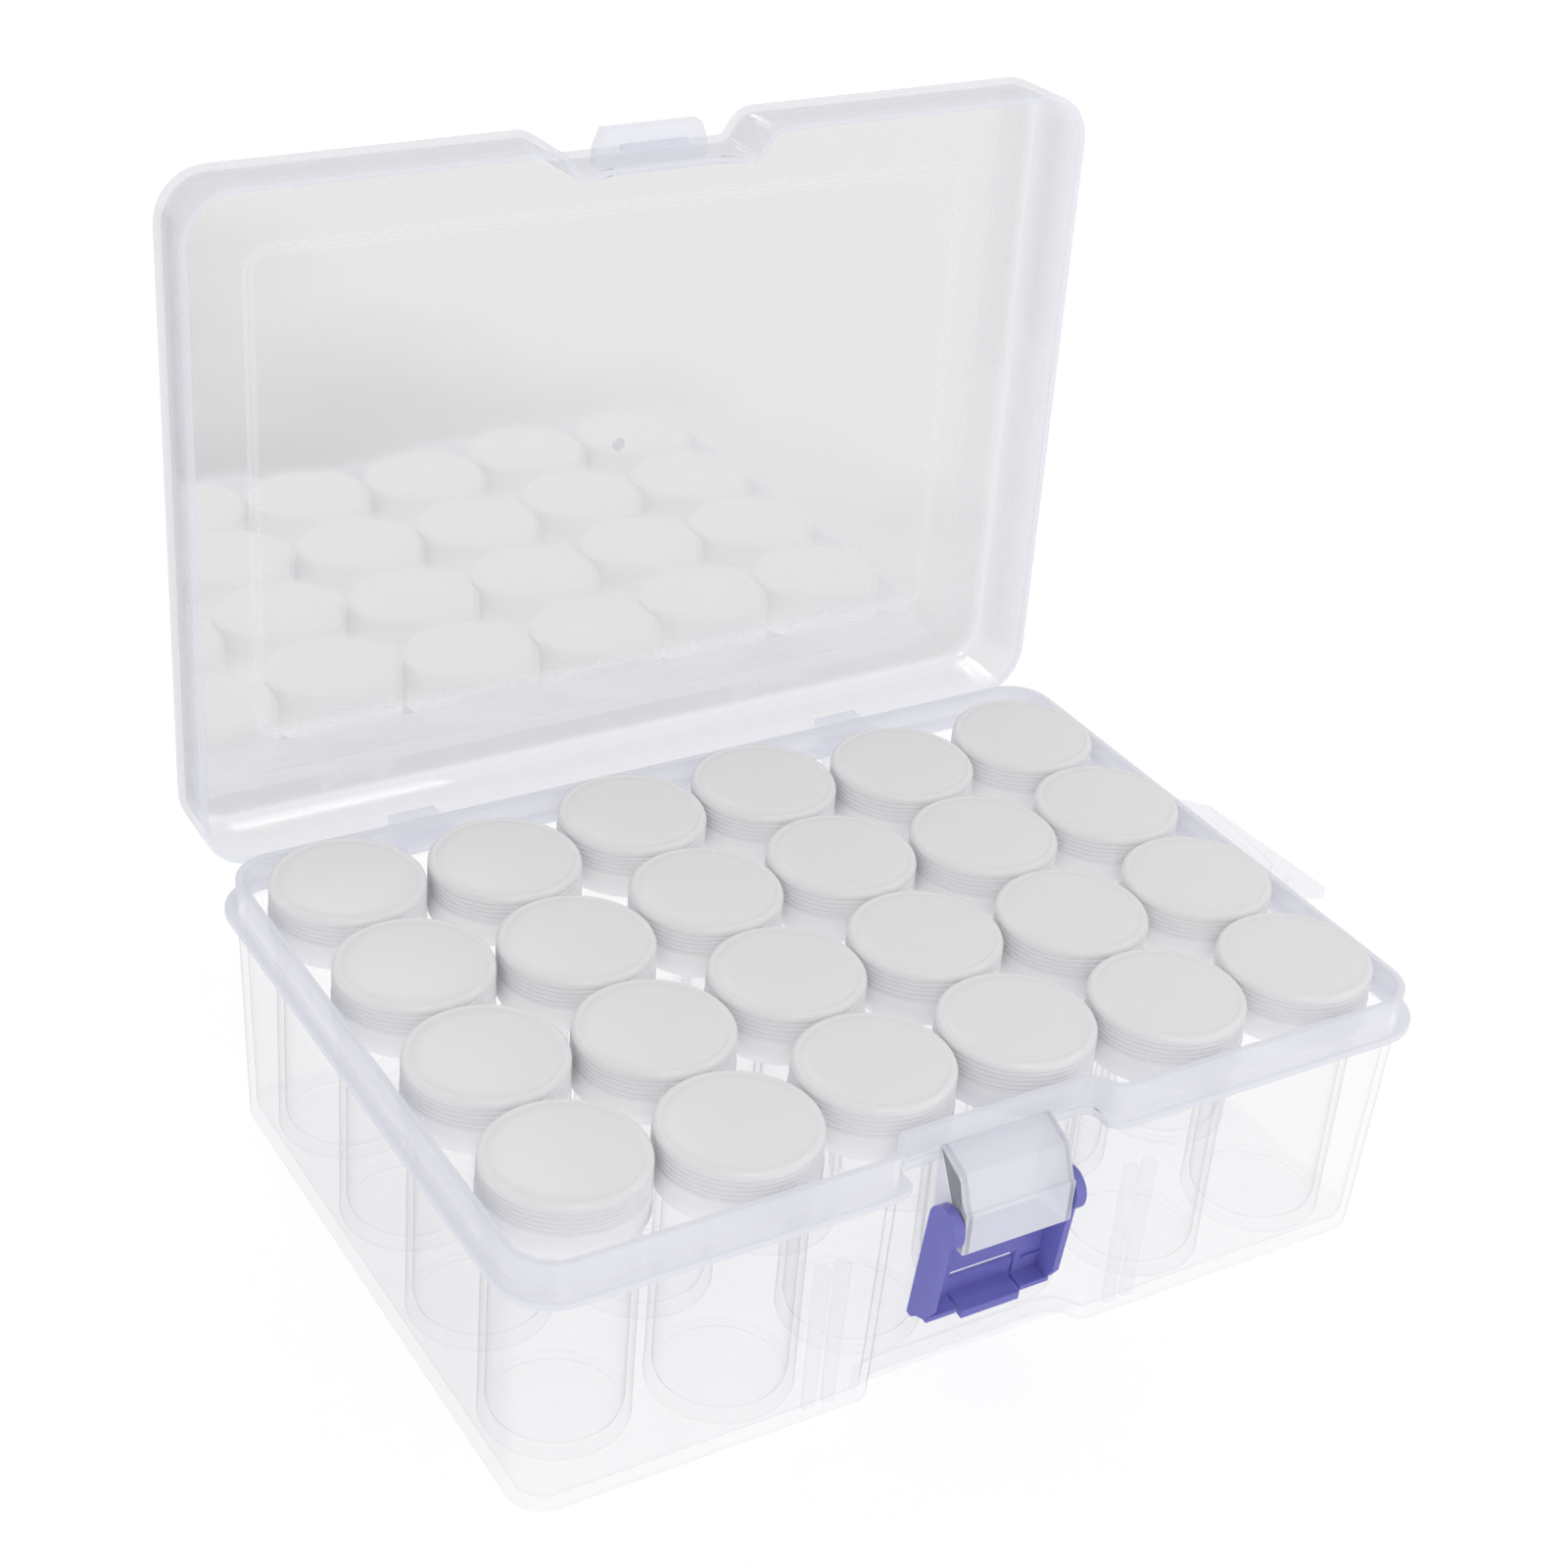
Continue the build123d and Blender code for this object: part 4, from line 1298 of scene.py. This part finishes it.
@dataclass
class Studio:
    """Pale floor, white surround, soft lights and the camera.

    The camera's place is in millimetres and its angles are in degrees: azimuth is measured
    from +Y towards +X, elevation downwards. What mirrors see of the floor is a painted
    reflection that goes from dark to light with X by sweep_across, a slope per metre and
    an offset, and with Y by sweep_ahead.
    """

    floor_side: float = 6.0
    floor_drop: float = -0.0002
    floor_base: tuple = (0.28, 0.28, 0.285)
    floor_glow: float = 0.78
    # floor_dark and floor_light are the greys of the painted reflection that mirrors see on the floor
    floor_dark: tuple = (0.28, 0.29, 0.32)
    floor_light: tuple = (0.96, 0.96, 0.97)
    sweep_across: tuple = (5.0, -0.75)
    sweep_ahead: float = -2.0
    cloud_scale: float = 9.0
    surround: float = 0.83
    backdrop: float = 1.05
    camera_place: tuple = (-228.19, -335.76, 318.64)
    azimuth: float = 33.06
    elevation: float = 30.63
    roll: float = 4.97
    lens: float = 65.47
    sensor: float = 36.0

    def build(self) -> None:
        """Set up the floor, the surround, the lights, the camera and the light paths."""
        self.floor()
        self.world()
        self.light("key", (-0.15, -0.75, 1.0), 0.22, 1.3, (1.0, 0.94, 0.87))
        self.light("fill", (0.9, -0.4, 0.7), 0.4, 0.7, (1.0, 1.0, 1.0))
        self.light("back", (0.2, 0.9, 0.9), 0.4, 0.9, (1.0, 1.0, 1.0))
        self.camera()
        scene = bpy.context.scene
        scene.view_settings.view_transform = "Standard"
        scene.cycles.max_bounces = 40
        scene.cycles.transparent_max_bounces = 64
        scene.cycles.glossy_bounces = 4

    def floor(self) -> None:
        """Pale floor; mirrors see a painted reflection on it, a little darker than the eye sees."""
        half = self.floor_side / 2
        mesh = bpy.data.meshes.new("floor")
        corners = [(x * half, y * half, self.floor_drop) for x, y in ((-1, -1), (1, -1), (1, 1), (-1, 1))]
        mesh.from_pydata(corners, [], [(0, 1, 2, 3)])
        tree = NodeTree("pale_floor")
        pale = tree.node("ShaderNodeBsdfPrincipled", Roughness=0.9)
        pale.inputs["Base Color"].default_value = (*self.floor_base, 1.0)
        pale.inputs["Emission Color"].default_value = (1.0, 1.0, 1.0, 1.0)
        pale.inputs["Emission Strength"].default_value = self.floor_glow
        # Mirrors see the painted reflection, a cloudy grey sweep, instead of the pale floor.
        dim = tree.node("ShaderNodeBsdfDiffuse")
        tree.link(self.painted_reflection(tree), dim.inputs["Color"])
        path = tree.node("ShaderNodeLightPath").outputs["Is Glossy Ray"]
        tree.finish(tree.mix(path, pale.outputs[0], dim.outputs[0]))
        mesh.materials.append(tree.material)
        made = bpy.data.objects.new("floor", mesh)
        bpy.context.scene.collection.objects.link(made)

    def painted_reflection(self, tree: "NodeTree") -> bpy.types.NodeSocket:
        """Painted reflection: grey that brightens towards +X in soft clouds, as a colour socket."""
        spot = tree.node("ShaderNodeTexCoord")
        parts = tree.node("ShaderNodeSeparateXYZ")
        tree.link(spot.outputs["Object"], parts.inputs["Vector"])
        across = tree.math("MULTIPLY_ADD", parts.outputs["X"], *self.sweep_across)
        ahead = tree.math("MULTIPLY_ADD", parts.outputs["Y"], self.sweep_ahead, across)
        cloud = tree.math("ADD", tree.noise(self.cloud_scale, 4.0), ahead)
        share = tree.math("MINIMUM", tree.math("MAXIMUM", cloud, 0.0), 1.0)
        return tree.blend(share, self.floor_dark, self.floor_light)

    def world(self) -> None:
        """White surround: the eye sees it plain white, and it lights a little softer than that."""
        world = bpy.data.worlds.new("studio")
        bpy.context.scene.world = world
        world.use_nodes = True
        nodes, links = world.node_tree.nodes, world.node_tree.links
        nodes.clear()
        path = nodes.new("ShaderNodeLightPath")
        mix = nodes.new("ShaderNodeMixShader")
        output = nodes.new("ShaderNodeOutputWorld")
        links.new(path.outputs["Is Camera Ray"], mix.inputs[0])
        for socket, strength in enumerate((self.surround, self.backdrop), start=1):
            light = nodes.new("ShaderNodeBackground")
            light.inputs["Strength"].default_value = strength
            links.new(light.outputs[0], mix.inputs[socket])
        links.new(mix.outputs[0], output.inputs["Surface"])

    def light(
        self, name: str, spot: tuple[float, float, float], size: float, power: float,
        colour: tuple[float, float, float],
    ) -> None:
        """Add a soft square light that faces the box.

        Args:
            name: The light's name.
            spot: Where it hangs, in metres.
            size: Side of the square, in metres.
            power: Power in watts.
            colour: Colour, linear RGB.
        """
        lamp = bpy.data.lights.new(name, "AREA")
        lamp.size = size
        lamp.energy = power
        lamp.color = colour
        made = bpy.data.objects.new(name, lamp)
        made.location = spot
        made.rotation_euler = (-Vector(spot)).to_track_quat("-Z", "Y").to_euler()
        bpy.context.scene.collection.objects.link(made)

    def camera(self) -> None:
        """Place the camera by its own right, up and back directions."""
        turn, dip, roll = (math.radians(v) for v in (self.azimuth, self.elevation, self.roll))
        ahead = Vector((math.sin(turn) * math.cos(dip), math.cos(turn) * math.cos(dip), -math.sin(dip)))
        level = Vector((math.cos(turn), -math.sin(turn), 0.0))
        right = level * math.cos(roll) + level.cross(ahead) * math.sin(roll)
        up = right.cross(ahead)
        data = bpy.data.cameras.new("camera")
        data.lens = self.lens
        data.sensor_width = self.sensor
        data.clip_start = 0.01
        data.clip_end = 50.0
        made = bpy.data.objects.new("camera", data)
        axes = Matrix((right, up, -ahead)).transposed()
        made.matrix_world = Matrix.Translation(Vector(self.camera_place) * MM) @ axes.to_4x4()
        bpy.context.scene.collection.objects.link(made)
        bpy.context.scene.camera = made


def main() -> None:
    """Build the box piece by piece."""
    logging.basicConfig(level=logging.INFO, format="%(name)s: %(message)s")
    Tray(TRAY_FINISH.build()).build()
    Lid(LID_FINISH.build()).build()
    Latch(LATCH_FINISH.build()).build()
    jar_finish, cap_finish = JAR_FINISH.build(), CAP_FINISH.build()
    for node in sorted(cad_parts):
        if node.startswith("jar_"):
            Jar(jar_finish, node, node).build()
        elif node.startswith("cap_"):
            Cap(cap_finish, node, node).build()
    Studio().build()


if __name__ == "__main__":
    main()
